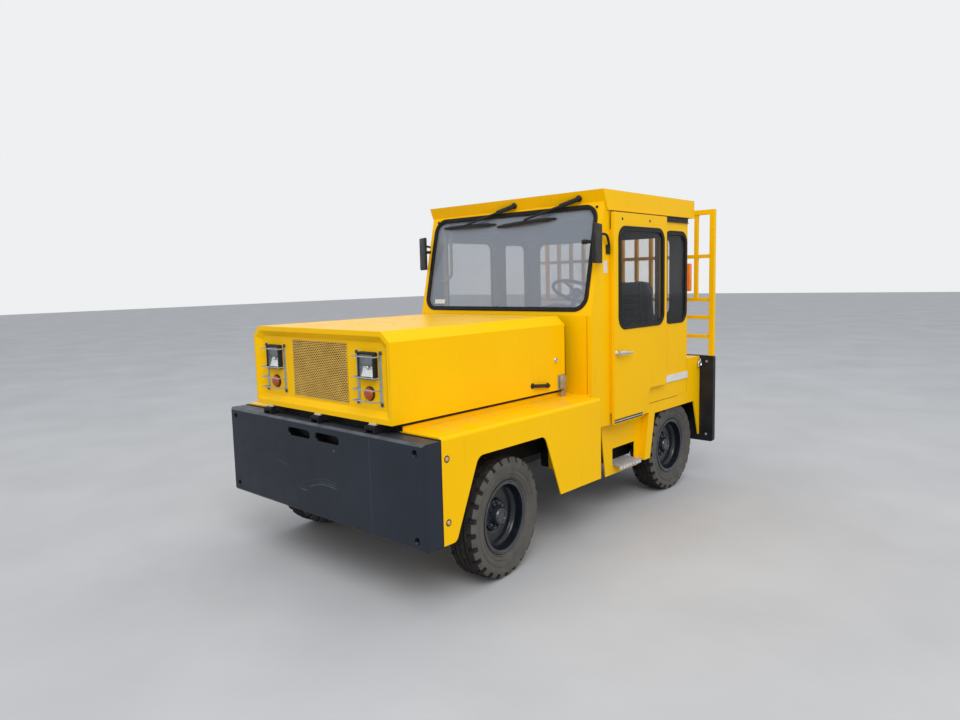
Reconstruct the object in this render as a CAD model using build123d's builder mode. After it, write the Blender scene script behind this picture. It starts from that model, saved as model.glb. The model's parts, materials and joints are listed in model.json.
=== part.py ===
from build123d import *
from math import cos, radians, sin, tan
import os

os.makedirs("parts", exist_ok=True)

# Compact tow tractor. Front is -Y, vehicle's left is +X, ground is Z = 0.
# The origin is the middle of the overall length and width, on the ground.

# ---- overall ----
overall_length = 3600
body_half = 972
cab_half = body_half - 124
hood_half = body_half - 291
front_y = -overall_length / 2
rear_y = overall_length / 2
fit_gap = 0.3


def along(share):
    """Station along the length, from 0 at the bumper's face to 1 at the tow coupling."""
    return front_y + share * overall_length


# ---- front bumper ----
bumper_depth = 119
bumper_bottom = 367
bumper_top = 945
bumper_slot_height = 54
bumper_slot_length = 236
bumper_slot_left_x = 139
bumper_slot_right_x = -149
bumper_slot_depth = 60
bumper_slot_z = bumper_top - 77
bumper_bore_radius = 21
bumper_bore_depth = 34
bumper_bore_inset_x = 70
bumper_bore_inset_z = 54
bumper_chamfer = 14

# ---- wheels and axles ----
tyre_radius = 365
tyre_width = 200
bead_radius = 203
rim_flange_radius = 221
rim_width = 160
rim_wall = 9
front_axle_y = along(0.18917)
rear_axle_y = along(0.81944)
front_tyre_outer = body_half - 47
rear_tyre_outer = cab_half - 19
axle_z = tyre_radius
steer_angle = 7
kingpin_x = front_tyre_outer - 270
kingpin_radius = 18
kingpin_height = 200
pin_fit = 0.05
ear_inner = 70
ear_thickness = 25
ear_reach = 35
ear_half_width = 35
yoke_back = 56
knuckle_radius = 32
drum_radius = 140
drum_width = 38
drum_offset = 58
spindle_radius = 25
spindle_length = 205
arm_length = 170
arm_width = 36
arm_thickness = 22
arm_drop = 48
tie_rod_radius = 14
tie_pin_radius = 9
tie_eye_radius = 20
open_pin_gap = 2
axle_tube_radius = 50
diff_radius = 118
diff_half = 112
pinion_radius = 45
pinion_reach = 135
spring_seat_z = axle_z + 60
spring_half_length = 380
spring_thickness = 40
spring_rise = 35
spring_width = 60

# ---- chassis frame ----
rail_x = 400
rail_width = 70
rail_bottom = spring_seat_z + spring_thickness + spring_rise
rail_height = 150
rail_top = rail_bottom + rail_height
crossmember_width = 80
outrigger_width = 60

# ---- front fenders ----
fender_top = bumper_top + 12
fender_sheet = 8
fender_half = body_half - 7
fender_front_y = along(0.03694)
fender_rear_y = along(0.46083)
fender_inner = cab_half - 328
fender_front_bottom = bumper_bottom
fender_rear_bottom = bumper_bottom + 31
arch_top = bumper_top - 139
arch_front_bottom_y = along(0.06444)
arch_front_top_y = along(0.11694)
arch_rear_top_y = along(0.28722)
arch_rear_bottom_y = along(0.33111)
arch_corner = 62
fender_fold = 22
fender_toe = 40
bay_flange_x = hood_half - 26
bay_flange_top = fender_top + 78
sill_bottom = fender_top
apron_bottom = bumper_top - 60

# ---- hood ----
hood_top_half = hood_half - 66
hood_front_y = along(0.01222)
hood_rear_y = along(0.45694)
hood_bottom = fender_top + 44
hood_height = 512
hood_top = hood_bottom + hood_height
hood_side_top = hood_top - 58
hood_sheet = 10
recess_half = hood_half - 64
recess_bottom = hood_bottom + 30
recess_top = hood_top - 63
recess_depth = 30
recess_side_slope = 42
recess_bottom_slope = 36
recess_top_slope = 34
recess_cut = 36
recess_drop = 28
recess_front_cut = 50
recess_front_drop = 42
hood_hinge_y = along(0.00833)
hood_hinge_z = bumper_top + 28
hood_hinge_x = hood_half - 161
hinge_pin_radius = 8
hinge_barrel_radius = 15
hinge_leaf = 60
grille_half = hood_half - 405
grille_bottom = recess_bottom + recess_bottom_slope + 4
grille_top = recess_top - 2
grille_thickness = 4
grille_hole = 26
grille_pitch = 46
grille_columns = int((2 * grille_half - 30) / grille_pitch)
grille_rows = int((grille_top - grille_bottom - 52) / grille_pitch)
lamp_x = hood_half - 209
lamp_width = 146
lamp_height = 155
lamp_top = recess_top - 55
lamp_bottom = lamp_top - lamp_height
lamp_depth = 30
indicator_z = recess_bottom + 128
indicator_radius = 41
indicator_depth = 30
guard_half = 98
guard_bottom = recess_bottom + 59
guard_top = lamp_top + 8
guard_strip = 22
guard_sheet = 4
guard_rod = 4
guard_reach = 50

# ---- cab ----
cab_wall = 40
cab_front_y = along(0.47861)
cab_rear_y = along(0.87917)
cab_floor_z = 785
window_sill = cab_floor_z + 620
floor_thickness = 40
cab_side_bottom = cab_floor_z - 75
cab_top = 2300
rake_z = hood_top - 1
rake_run = 179
rake_rise = 802
cab_corner = 30
windshield_half = cab_half - 63
windshield_bottom = rake_z + 53
windshield_top = cab_top - 44
windshield_corner = 85
glass = 6
rear_wall = 30
rear_window_half = cab_half - 148
rear_window_bottom = window_sill + 25
rear_window_top = cab_top - 195
rear_window_corner = 60


def rake_y(z):
    """Y of the front face of the cab's front wall at height z."""
    return cab_front_y + max(0, z - rake_z) * rake_run / rake_rise


# ---- roof ----
roof_half = cab_half + 13
roof_top = cab_top + 83
roof_skirt = cab_top - 59
roof_front_top_y = rake_y(cab_top) - 30
roof_front_bottom_y = rake_y(cab_top) + 28
roof_rear_y = along(0.90472)

# ---- doors ----
door_inner = cab_half + 14
door_thickness = 24
door_front_y = along(0.545)
door_rear_y = along(0.76028)
door_bottom = cab_side_bottom + 2
door_step_y = along(0.65944)
door_step_top_y = along(0.68889)
door_rear_bottom = cab_floor_z + 131
door_top = cab_top - 70
door_window_front_y = along(0.56889)
door_window_rear_y = along(0.74722)
door_window_bottom = window_sill
door_window_top = cab_top - 178
window_corner = 72
opening_front_y = along(0.56111)
opening_rear_y = along(0.74722)
opening_top = cab_top - 120
door_lap = 30
quarter_front_y = along(0.775)
quarter_rear_y = along(0.86611)
quarter_bottom = window_sill
quarter_top = cab_top - 182
track_bottom = cab_top - 104
track_top = cab_top - 62
track_depth = 13
track_sheet = 3
roller_x = 3.5
rail_strip_bottom = door_rear_bottom - 2
rail_strip_top = rail_strip_bottom + 56
rail_strip_front_y = along(0.76389)
rail_strip_thickness = 8

# ---- rear body ----
side_sheet = 12
rear_deck_top = cab_floor_z + 290
rear_arch_top = cab_side_bottom - 16
rear_leg_bottom = 345
rear_leg_front_bottom_y = along(0.68278)
rear_leg_front_top_y = along(0.70278)
rear_arch_front_bottom_y = along(0.70722)
rear_arch_front_top_y = along(0.72833)
rear_arch_rear_top_y = along(0.91722)
rear_tip_bottom = 385
step_panel_x = cab_half - 63
step_front_top_y = along(0.53889)
step_front_bottom_y = along(0.555)
step_bottom = 300
step_top = cab_side_bottom - 10
cutout_front_y = along(0.58139)
cutout_rear_y = along(0.67028)
cutout_bottom = 368
cutout_top = 497
tread_top = cutout_bottom + 4
tread_lip = 36
tread_sheet = 4
tread_inner = step_panel_x - 95
splash_x = tread_inner - 82
splash_front_y = step_front_bottom_y
splash_rear_y = rear_leg_front_bottom_y + 180
splash_bottom = step_bottom + 30

# ---- rear plate, guard, coupling ----
plate_front_y = along(0.94722)
plate_thickness = 45
plate_bottom = 332
plate_top = rear_deck_top + 5
plate_corner = 20
guard_inset = 27
guard_rail_half = body_half - guard_inset
guard_tube = 40
guard_bar = 30
guard_rail_top = cab_top + 20
guard_bar_count = 12
coupling_z = 480
coupling_jaw_half = 75
coupling_width_half = 90
coupling_pin_radius = 20

# ---- engine ----
engine_half = 290
engine_front_y = along(0.11667)
engine_rear_y = along(0.38333)
engine_bottom = 560
engine_top = hood_bottom + 129
mount_length = 90
mount_height = 50

# ---- driveline and tanks ----
gearbox_front_y = along(0.45556)
gearbox_rear_y = along(0.57778)
gearbox_half = 170
gearbox_bottom = 330
shaft_radius = 30
shaft_rise = 15
tank_front_y = along(0.46444)
tank_rear_y = along(0.53472)
tank_width = 310
tank_bottom = 400

# ---- interior ----
seat_x = cab_half - 418
seat_half = 235
seat_front_y = along(0.67222)
seat_back_y = along(0.79722)
seat_base_top = cab_floor_z + 295
cushion_thickness = 110
seat_back_top = seat_base_top + 650
back_thickness = 100
wheel_centre_y = along(0.61111)
wheel_centre_z = cab_floor_z + 880
steering_wheel_radius = 190
steering_rim_radius = 14
wheel_tilt = 28
dash_depth = 260
dash_top = rake_z - 12
dash_bottom = dash_top - 320
housing_half = 140
housing_reach = 75
column_length = 190

# ---- mirrors, wipers, lamps ----
mirror_height = 270
mirror_width = 150
mirror_thickness = 22
mirror_x = cab_half + 42
mirror_y = along(0.485)
mirror_z = cab_top - 295
mirror_turn = 13
far_mirror_x = cab_half + 28
far_mirror_y = mirror_y + 42
far_mirror_turn = -65
mirror_arm_radius = 7
mirror_arm_x = cab_half + 34
mirror_arm_y = mirror_y + 118
mirror_arm_z = mirror_z - 25
mirror_arm_bend = 26
wiper_lip_z = roof_top - 48
wiper_hub_radius = 19
wiper_hub_length = 28
wiper_arm_height = 30
wiper_arm_width = 12
wiper_arm_root = 14
wiper_arm_tip = 5
wiper_blade_width = 14
tail_lamp_width = 72
tail_lamp_height = 230
tail_lamp_depth = 40
tail_lamp_x = cab_half - 12
tail_lamp_z = cab_top - 545

plate_rear_y = plate_front_y + plate_thickness


def yz(x):
    return Plane.YZ.offset(x)


def xy(z):
    return Plane.XY.offset(z)


def xz(y):
    """Plane facing -Y at station y: local x is +X, local y is +Z, extrude goes to -Y."""
    return Plane.XZ.offset(-y)


# ---------------- chassis ----------------
with BuildPart() as chassis_frame:
    # two closed rails from the front bumper to the rear plate
    for side in (-1, 1):
        with BuildSketch(xz(plate_front_y)):
            with Locations((side * rail_x, rail_bottom + rail_height / 2)):
                Rectangle(rail_width, rail_height)
        extrude(amount=plate_front_y - (front_y + bumper_depth))
    # crossmembers, by their shares of the length
    for share in (0.0444, 0.4028, 0.6111, 0.925):
        with BuildSketch(xy(rail_bottom + 30)):
            with Locations((0, along(share))):
                Rectangle(2 * rail_x, crossmember_width)
        extrude(amount=rail_height - 60)

with BuildPart() as outriggers:
    # carry fenders, cab floor, step panels and rear body: station, half width
    for middle_y, half in (
        (fender_front_y + fender_sheet + outrigger_width / 2, fender_inner + 120),
        (fender_rear_y - fender_sheet - outrigger_width / 2, fender_inner + 120),
        (step_front_bottom_y + outrigger_width / 2, step_panel_x - fender_sheet),
        (rear_leg_front_bottom_y - outrigger_width / 2, step_panel_x - fender_sheet),
        (plate_front_y - outrigger_width / 2, cab_half - side_sheet),
    ):
        with BuildSketch(xy(rail_top)):
            with Locations((0, middle_y)):
                Rectangle(2 * half, outrigger_width)
        extrude(amount=cab_floor_z - floor_thickness - rail_top)

    # plates that close the chassis behind the steps
    for side in (1, -1):
        with BuildSketch(yz(side * splash_x)):
            with Locations(((splash_front_y + splash_rear_y) / 2, (splash_bottom + rail_top) / 2)):
                Rectangle(splash_rear_y - splash_front_y, rail_top - splash_bottom)
        extrude(amount=-side * fender_sheet)

with BuildPart() as front_bumper:
    with BuildSketch(xz(front_y + bumper_depth)):
        with Locations((0, (bumper_bottom + bumper_top) / 2)):
            Rectangle(2 * body_half, bumper_top - bumper_bottom)
    extrude(amount=bumper_depth)
    chamfer(front_bumper.faces().sort_by(Axis.Y)[0].edges(), bumper_chamfer)
    with BuildSketch(xz(front_y + bumper_slot_depth)):
        with Locations((bumper_slot_right_x, bumper_slot_z), (bumper_slot_left_x, bumper_slot_z)):
            SlotOverall(bumper_slot_length, bumper_slot_height)
    extrude(amount=bumper_slot_depth, mode=Mode.SUBTRACT)
    with BuildSketch(xz(front_y + bumper_bore_depth)):
        with Locations((0, (bumper_bottom + bumper_top) / 2)):
            with GridLocations(
                2 * (body_half - bumper_bore_inset_x),
                bumper_top - bumper_bottom - 2 * bumper_bore_inset_z,
                2,
                2,
            ):
                Circle(bumper_bore_radius)
    extrude(amount=bumper_bore_depth, mode=Mode.SUBTRACT)

for side, name in ((1, "fender_left"), (-1, "fender_right")):
    outer = side * fender_half
    with BuildPart() as fender:
        # side plate with its trapezoid arch
        with BuildSketch(yz(outer)) as plate:
            with BuildLine():
                Polyline(
                    (fender_front_y, fender_front_bottom),
                    (arch_front_bottom_y, fender_front_bottom),
                    (arch_front_top_y, arch_top),
                    (arch_rear_top_y, arch_top),
                    (arch_rear_bottom_y, fender_rear_bottom),
                    (fender_rear_y, fender_rear_bottom),
                    (fender_rear_y, fender_top),
                    (fender_front_y, fender_top),
                    close=True,
                )
            make_face()
            fillet(plate.vertices().filter_by_position(Axis.Y, arch_top - 1, arch_top + 1), arch_corner)
            fillet(
                plate.vertices().filter_by_position(Axis.X, arch_front_bottom_y - 1, arch_front_bottom_y + 1),
                fender_toe,
            )
        extrude(amount=-side * fender_sheet)
        # top deck
        with BuildSketch(xy(fender_top)):
            with Locations((side * (fender_half + fender_inner) / 2, (fender_front_y + fender_rear_y) / 2)):
                Rectangle(fender_half - fender_inner, fender_rear_y - fender_front_y)
        extrude(amount=-fender_sheet)
        with BuildSketch(xy(fender_top)):
            with Locations((side * (cab_half + fender_inner) / 2, (fender_rear_y + cab_front_y) / 2)):
                Rectangle(cab_half - fender_inner, cab_front_y - fender_rear_y)
        extrude(amount=-fender_sheet)
        # upturned flange under the hood
        with BuildSketch(xy(fender_top)):
            with Locations((side * bay_flange_x, (fender_front_y + fender_rear_y) / 2)):
                Rectangle(fender_sheet, fender_rear_y - fender_front_y)
        extrude(amount=bay_flange_top - fender_top)
        # front and rear closing plates
        for plate_y, low in ((fender_front_y, fender_front_bottom), (fender_rear_y - fender_sheet, fender_rear_bottom)):
            with BuildSketch(xz(plate_y + fender_sheet)):
                with Locations((side * (fender_half + fender_inner) / 2, (low + fender_top) / 2)):
                    Rectangle(fender_half - fender_inner, fender_top - low)
            extrude(amount=fender_sheet)
        # folded outer top edge
        outer_edges = fender.edges().filter_by(Axis.Y).filter_by_position(
            Axis.X, outer - 1, outer + 1
        )
        fillet(outer_edges.sort_by(Axis.Z)[-1], fender_fold)
    fender.part.label = name
    export_step(fender.part, f"parts/{name}.step")

with BuildPart() as rear_bumper:
    with BuildSketch(xz(plate_rear_y)):
        with Locations((0, (plate_bottom + plate_top) / 2)):
            RectangleRounded(2 * body_half, plate_top - plate_bottom, plate_corner)
    extrude(amount=plate_thickness)

with BuildPart() as tow_coupling:
    # jaw block with a vertical pin, open to the rear
    with BuildSketch(yz(-coupling_width_half)):
        with BuildLine():
            Polyline(
                (plate_rear_y, coupling_z - coupling_jaw_half),
                (rear_y, coupling_z - coupling_jaw_half),
                (rear_y, coupling_z - 35),
                (plate_rear_y + 30, coupling_z - 35),
                (plate_rear_y + 30, coupling_z + 35),
                (rear_y, coupling_z + 35),
                (rear_y, coupling_z + coupling_jaw_half),
                (plate_rear_y, coupling_z + coupling_jaw_half),
                close=True,
            )
        make_face()
    extrude(amount=2 * coupling_width_half)
    with BuildSketch(xy(coupling_z - coupling_jaw_half)):
        with Locations((0, (plate_rear_y + 30 + rear_y) / 2 + 10)):
            Circle(coupling_pin_radius)
    extrude(amount=2 * coupling_jaw_half + 60)

with BuildPart() as engine_block:
    with BuildSketch(xy(engine_bottom)):
        with Locations((0, (engine_front_y + engine_rear_y) / 2)):
            Rectangle(2 * engine_half, engine_rear_y - engine_front_y)
    extrude(amount=engine_top - engine_bottom)
    # mounts that rest against the rails
    for mount_y in (engine_front_y + 140, engine_rear_y - 140):
        with BuildSketch(xy(engine_bottom + 20)):
            with Locations((0, mount_y)):
                Rectangle(2 * (rail_x - rail_width / 2), mount_length)
        extrude(amount=mount_height)

with BuildPart() as driveline:
    # gearbox hung between the rails, and a shaft to each axle
    with BuildSketch(xy(rail_bottom + 30)):
        with Locations((0, (gearbox_front_y + gearbox_rear_y) / 2)):
            Rectangle(2 * (rail_x - rail_width / 2), 80)
        with Locations((0, (gearbox_front_y + gearbox_rear_y) / 2)):
            Rectangle(2 * gearbox_half, gearbox_rear_y - gearbox_front_y)
    extrude(amount=rail_height - 60)
    with BuildSketch(xy(gearbox_bottom)):
        with Locations((0, (gearbox_front_y + gearbox_rear_y) / 2)):
            Rectangle(2 * gearbox_half - 60, gearbox_rear_y - gearbox_front_y)
    extrude(amount=rail_bottom + 30 - gearbox_bottom)
    with BuildSketch(xz(gearbox_front_y)):
        with Locations((0, axle_z + shaft_rise)):
            Circle(shaft_radius)
    extrude(amount=gearbox_front_y - front_axle_y - pinion_reach)
    with BuildSketch(xz(rear_axle_y - pinion_reach)):
        with Locations((0, axle_z + shaft_rise)):
            Circle(shaft_radius)
    extrude(amount=rear_axle_y - pinion_reach - gearbox_rear_y)

with BuildPart() as side_tanks:
    for side in (1, -1):
        with BuildSketch(xz(tank_rear_y)):
            with Locations((side * (rail_x + rail_width / 2 + tank_width / 2), (tank_bottom + rail_top) / 2)):
                RectangleRounded(tank_width, rail_top - tank_bottom, 20)
        extrude(amount=tank_rear_y - tank_front_y)

# ---------------- rear body ----------------
with BuildPart() as rear_body:
    for side in (1, -1):
        # arch panel under the cab side and beside the deck
        with BuildSketch(yz(side * cab_half)):
            with BuildLine():
                Polyline(
                    (rear_leg_front_bottom_y, rear_leg_bottom),
                    (rear_arch_front_bottom_y, rear_leg_bottom),
                    (rear_arch_front_top_y, rear_arch_top),
                    (rear_arch_rear_top_y, rear_arch_top),
                    (plate_front_y - 12, rear_tip_bottom),
                    (plate_front_y, rear_tip_bottom),
                    (plate_front_y, rear_deck_top),
                    (cab_rear_y + 8, rear_deck_top),
                    (cab_rear_y + 8, cab_floor_z),
                    (rear_leg_front_top_y + 14, cab_floor_z),
                    (rear_leg_front_top_y, cab_side_bottom),
                    close=True,
                )
            make_face()
        extrude(amount=-side * side_sheet)
    # deck box between the cab and the rear plate
    with BuildSketch(xy(rear_deck_top)):
        with Locations((0, (cab_rear_y + 8 + plate_front_y) / 2)):
            Rectangle(2 * cab_half, plate_front_y - cab_rear_y - 8)
    extrude(amount=-side_sheet)
    with BuildSketch(xz(cab_rear_y + 8 + side_sheet)):
        with Locations((0, (cab_floor_z + rear_deck_top) / 2)):
            Rectangle(2 * cab_half, rear_deck_top - cab_floor_z)
    extrude(amount=side_sheet)

with BuildPart() as step_panels:
    for side in (1, -1):
        # step panel, set back from the side, with its toe opening
        with BuildSketch(yz(side * step_panel_x)):
            with BuildLine():
                Polyline(
                    (step_front_bottom_y, step_bottom),
                    (rear_leg_front_bottom_y, step_bottom),
                    (rear_leg_front_bottom_y, rear_leg_bottom),
                    (rear_leg_front_top_y + side_sheet, step_top),
                    (step_front_top_y, step_top),
                    close=True,
                )
            make_face()
            with Locations(((cutout_front_y + cutout_rear_y) / 2, (cutout_bottom + cutout_top) / 2)):
                Rectangle(cutout_rear_y - cutout_front_y, cutout_top - cutout_bottom, mode=Mode.SUBTRACT)
        extrude(amount=-side * fender_sheet)
        # wall that joins the step panel to the arch's front leg
        with BuildSketch(yz(side * (step_panel_x - fender_sheet))):
            with BuildLine():
                Polyline(
                    (rear_leg_front_bottom_y, rear_leg_bottom),
                    (rear_leg_front_bottom_y + side_sheet, rear_leg_bottom),
                    (rear_leg_front_top_y + side_sheet, step_top),
                    (rear_leg_front_top_y, step_top),
                    close=True,
                )
            make_face()
        extrude(amount=side * (cab_half - side_sheet - step_panel_x + fender_sheet))

with BuildPart() as step_treads:
    for side in (1, -1):
        with BuildSketch(xz(cutout_rear_y - 2)):
            with BuildLine():
                Polyline(
                    (side * tread_inner, tread_top),
                    (side * cab_half, tread_top),
                    (side * cab_half, tread_top - tread_lip),
                    (side * (cab_half - tread_sheet), tread_top - tread_lip),
                    (side * (cab_half - tread_sheet), tread_top - tread_sheet),
                    (side * tread_inner, tread_top - tread_sheet),
                    close=True,
                )
            make_face()
        extrude(amount=cutout_rear_y - cutout_front_y - 4)

# ---------------- cab ----------------
with BuildPart() as cab_floor:
    with BuildSketch(xy(cab_floor_z - floor_thickness)):
        with Locations((0, (cab_front_y + cab_wall + cab_rear_y - rear_wall) / 2)):
            Rectangle(2 * (cab_half - cab_wall), cab_rear_y - rear_wall - cab_front_y - cab_wall)
    extrude(amount=floor_thickness)

with BuildPart() as cab_front:
    with BuildSketch(yz(-cab_half)):
        with BuildLine():
            Polyline(
                (cab_front_y, cab_side_bottom),
                (cab_front_y + cab_wall, cab_side_bottom),
                (rake_y(rake_z) + cab_wall, rake_z),
                (rake_y(cab_top) + cab_wall, cab_top),
                (rake_y(cab_top), cab_top),
                (rake_y(rake_z), rake_z),
                close=True,
            )
        make_face()
    extrude(amount=2 * cab_half)
    with BuildSketch(xz(rake_y(cab_top) + 2 * cab_wall)):
        with Locations((0, (windshield_bottom + windshield_top) / 2)):
            RectangleRounded(2 * windshield_half, windshield_top - windshield_bottom, windshield_corner)
    extrude(amount=rake_run + 4 * cab_wall, mode=Mode.SUBTRACT)

with BuildPart() as cab_glass:
    # windshield, set in the middle of the raked wall
    with BuildSketch(xz(rake_y(cab_top) + 2 * cab_wall)):
        with Locations((0, (windshield_bottom + windshield_top) / 2)):
            RectangleRounded(
                2 * (windshield_half - fit_gap),
                windshield_top - windshield_bottom - 2 * fit_gap,
                windshield_corner - fit_gap,
            )
    extrude(amount=rake_run + 4 * cab_wall)
    with BuildSketch(yz(-cab_half)):
        with BuildLine():
            Polyline(
                (rake_y(rake_z) + 12, rake_z),
                (rake_y(rake_z) + 12 + glass, rake_z),
                (rake_y(cab_top) + 12 + glass, cab_top),
                (rake_y(cab_top) + 12, cab_top),
                close=True,
            )
        make_face()
    extrude(amount=2 * cab_half, mode=Mode.INTERSECT)
    # rear glass
    with BuildSketch(xz(cab_rear_y - 12)):
        with Locations((0, (rear_window_bottom + rear_window_top) / 2)):
            RectangleRounded(
                2 * (rear_window_half - fit_gap),
                rear_window_top - rear_window_bottom - 2 * fit_gap,
                rear_window_corner - fit_gap,
            )
    extrude(amount=glass)
    # quarter glass, both sides
    for side in (1, -1):
        with BuildSketch(yz(side * (cab_half - 8))):
            with Locations(((quarter_front_y + quarter_rear_y) / 2, (quarter_bottom + quarter_top) / 2)):
                RectangleRounded(
                    quarter_rear_y - quarter_front_y - 2 * fit_gap,
                    quarter_top - quarter_bottom - 2 * fit_gap,
                    window_corner - fit_gap,
                )
        extrude(amount=-side * glass)

for side, name in ((1, "cab_side_left"), (-1, "cab_side_right")):
    with BuildPart() as cab_side:
        with BuildSketch(yz(side * cab_half)):
            with BuildLine():
                Polyline(
                    (cab_front_y + cab_wall, cab_side_bottom),
                    (rear_leg_front_top_y, cab_side_bottom),
                    (rear_leg_front_top_y + 14, cab_floor_z),
                    (cab_rear_y, cab_floor_z),
                    (cab_rear_y, cab_top),
                    (rake_y(cab_top) + cab_wall, cab_top),
                    (rake_y(rake_z) + cab_wall, rake_z),
                    close=True,
                )
            make_face()
            with BuildLine():
                Polyline(
                    (opening_front_y, cab_floor_z),
                    (door_step_y - door_lap, cab_floor_z),
                    (door_step_top_y - door_lap, door_rear_bottom + door_lap),
                    (opening_rear_y, door_rear_bottom + door_lap),
                    (opening_rear_y, opening_top),
                    (opening_front_y, opening_top),
                    close=True,
                )
            make_face(mode=Mode.SUBTRACT)
            with Locations(((quarter_front_y + quarter_rear_y) / 2, (quarter_bottom + quarter_top) / 2)):
                RectangleRounded(
                    quarter_rear_y - quarter_front_y, quarter_top - quarter_bottom, window_corner, mode=Mode.SUBTRACT
                )
        extrude(amount=-side * cab_wall)
    cab_side.part.label = name
    export_step(cab_side.part, f"parts/{name}.step")

with BuildPart() as cab_rear:
    with BuildSketch(xz(cab_rear_y)):
        with Locations((0, (cab_floor_z - floor_thickness + cab_top) / 2)):
            Rectangle(2 * (cab_half - cab_wall), cab_top - cab_floor_z + floor_thickness)
        with Locations((0, (rear_window_bottom + rear_window_top) / 2)):
            RectangleRounded(
                2 * rear_window_half, rear_window_top - rear_window_bottom, rear_window_corner, mode=Mode.SUBTRACT
            )
    extrude(amount=rear_wall)

with BuildPart() as roof:
    with BuildSketch(yz(-roof_half)):
        with BuildLine():
            Polyline(
                (roof_front_top_y, roof_top),
                (roof_rear_y, roof_top),
                (roof_rear_y, roof_skirt),
                (roof_front_bottom_y, roof_skirt),
                close=True,
            )
        make_face()
    extrude(amount=2 * roof_half)
    # pocket that takes the tops of the cab walls
    with BuildSketch(xy(roof_skirt)):
        with Locations((0, (roof_front_top_y + cab_rear_y + fit_gap) / 2)):
            Rectangle(2 * (cab_half + fit_gap), cab_rear_y + fit_gap - roof_front_top_y)
    extrude(amount=cab_top - roof_skirt, mode=Mode.SUBTRACT)

with BuildPart() as door_tracks:
    for side in (1, -1):
        # upper channel, open to the outside
        with BuildSketch(xz(cab_rear_y)):
            with BuildLine():
                Polyline(
                    (side * cab_half, track_bottom),
                    (side * (cab_half + track_depth), track_bottom),
                    (side * (cab_half + track_depth), track_bottom + track_sheet),
                    (side * (cab_half + track_sheet), track_bottom + track_sheet),
                    (side * (cab_half + track_sheet), track_top - track_sheet),
                    (side * (cab_half + track_depth), track_top - track_sheet),
                    (side * (cab_half + track_depth), track_top),
                    (side * cab_half, track_top),
                    close=True,
                )
            make_face()
        extrude(amount=cab_rear_y - door_front_y - 20)
        # lower guide strip behind the door
        with BuildSketch(yz(side * cab_half)):
            with Locations(((rail_strip_front_y + cab_rear_y) / 2, (rail_strip_bottom + rail_strip_top) / 2)):
                Rectangle(cab_rear_y - rail_strip_front_y, rail_strip_top - rail_strip_bottom)
        extrude(amount=side * rail_strip_thickness)

roller_radius = (track_top - track_bottom) / 2 - track_sheet - fit_gap
for side, name in ((1, "door_left"), (-1, "door_right")):
    with BuildPart() as door:
        with BuildSketch(yz(side * door_inner)):
            with BuildLine():
                Polyline(
                    (door_front_y, door_bottom),
                    (door_step_y, door_bottom),
                    (door_step_top_y, door_rear_bottom),
                    (door_rear_y, door_rear_bottom),
                    (door_rear_y, door_top),
                    (door_front_y, door_top),
                    close=True,
                )
            make_face()
            with Locations(
                ((door_window_front_y + door_window_rear_y) / 2, (door_window_bottom + door_window_top) / 2)
            ):
                RectangleRounded(
                    door_window_rear_y - door_window_front_y,
                    door_window_top - door_window_bottom,
                    window_corner,
                    mode=Mode.SUBTRACT,
                )
        extrude(amount=side * door_thickness)
        # two rollers that hang the door in the upper channel
        with BuildSketch(yz(side * (cab_half + track_sheet + fit_gap))):
            for roller_y in (door_front_y + 145, door_rear_y - 235):
                with Locations((roller_y, (track_bottom + track_top) / 2)):
                    Circle(roller_radius)
        extrude(amount=side * (door_inner - cab_half - track_sheet - fit_gap))
    door.part.label = name
    export_step(door.part, f"parts/{name}.step")

for side, name in ((1, "door_glass_left"), (-1, "door_glass_right")):
    with BuildPart() as door_glass:
        with BuildSketch(yz(side * (door_inner + door_thickness - 6))):
            with Locations(
                ((door_window_front_y + door_window_rear_y) / 2, (door_window_bottom + door_window_top) / 2)
            ):
                RectangleRounded(
                    door_window_rear_y - door_window_front_y - 2 * fit_gap,
                    door_window_top - door_window_bottom - 2 * fit_gap,
                    window_corner - fit_gap,
                )
        extrude(amount=-side * glass)
    door_glass.part.label = name
    export_step(door_glass.part, f"parts/{name}.step")

with BuildPart() as rear_guard:
    guard_y_mid = (plate_front_y + plate_rear_y) / 2
    # posts
    for side in (1, -1):
        with BuildSketch(xy(plate_top)):
            with Locations((side * guard_rail_half, guard_y_mid)):
                Rectangle(guard_tube, guard_tube)
        extrude(amount=guard_rail_top - plate_top)
    # cross rails: share of the height above the plate, size
    guard_height = guard_rail_top - guard_tube / 2 - plate_top
    for share, size in ((1, guard_tube), (0.697, guard_bar), (0.395, guard_bar), (0.27, guard_bar), (0.135, guard_bar)):
        height = plate_top + share * guard_height
        with BuildSketch(yz(-guard_rail_half)):
            with Locations((guard_y_mid, height)):
                Rectangle(size, size)
        extrude(amount=2 * guard_rail_half)
    # upright bars between the posts
    bar_pitch = 2 * guard_rail_half / (guard_bar_count + 1)
    for number in range(guard_bar_count):
        with BuildSketch(xy(plate_top + 0.395 * guard_height)):
            with Locations((-guard_rail_half + bar_pitch * (number + 1), guard_y_mid)):
                Rectangle(guard_bar, guard_bar)
        extrude(amount=0.605 * guard_height)

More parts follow.
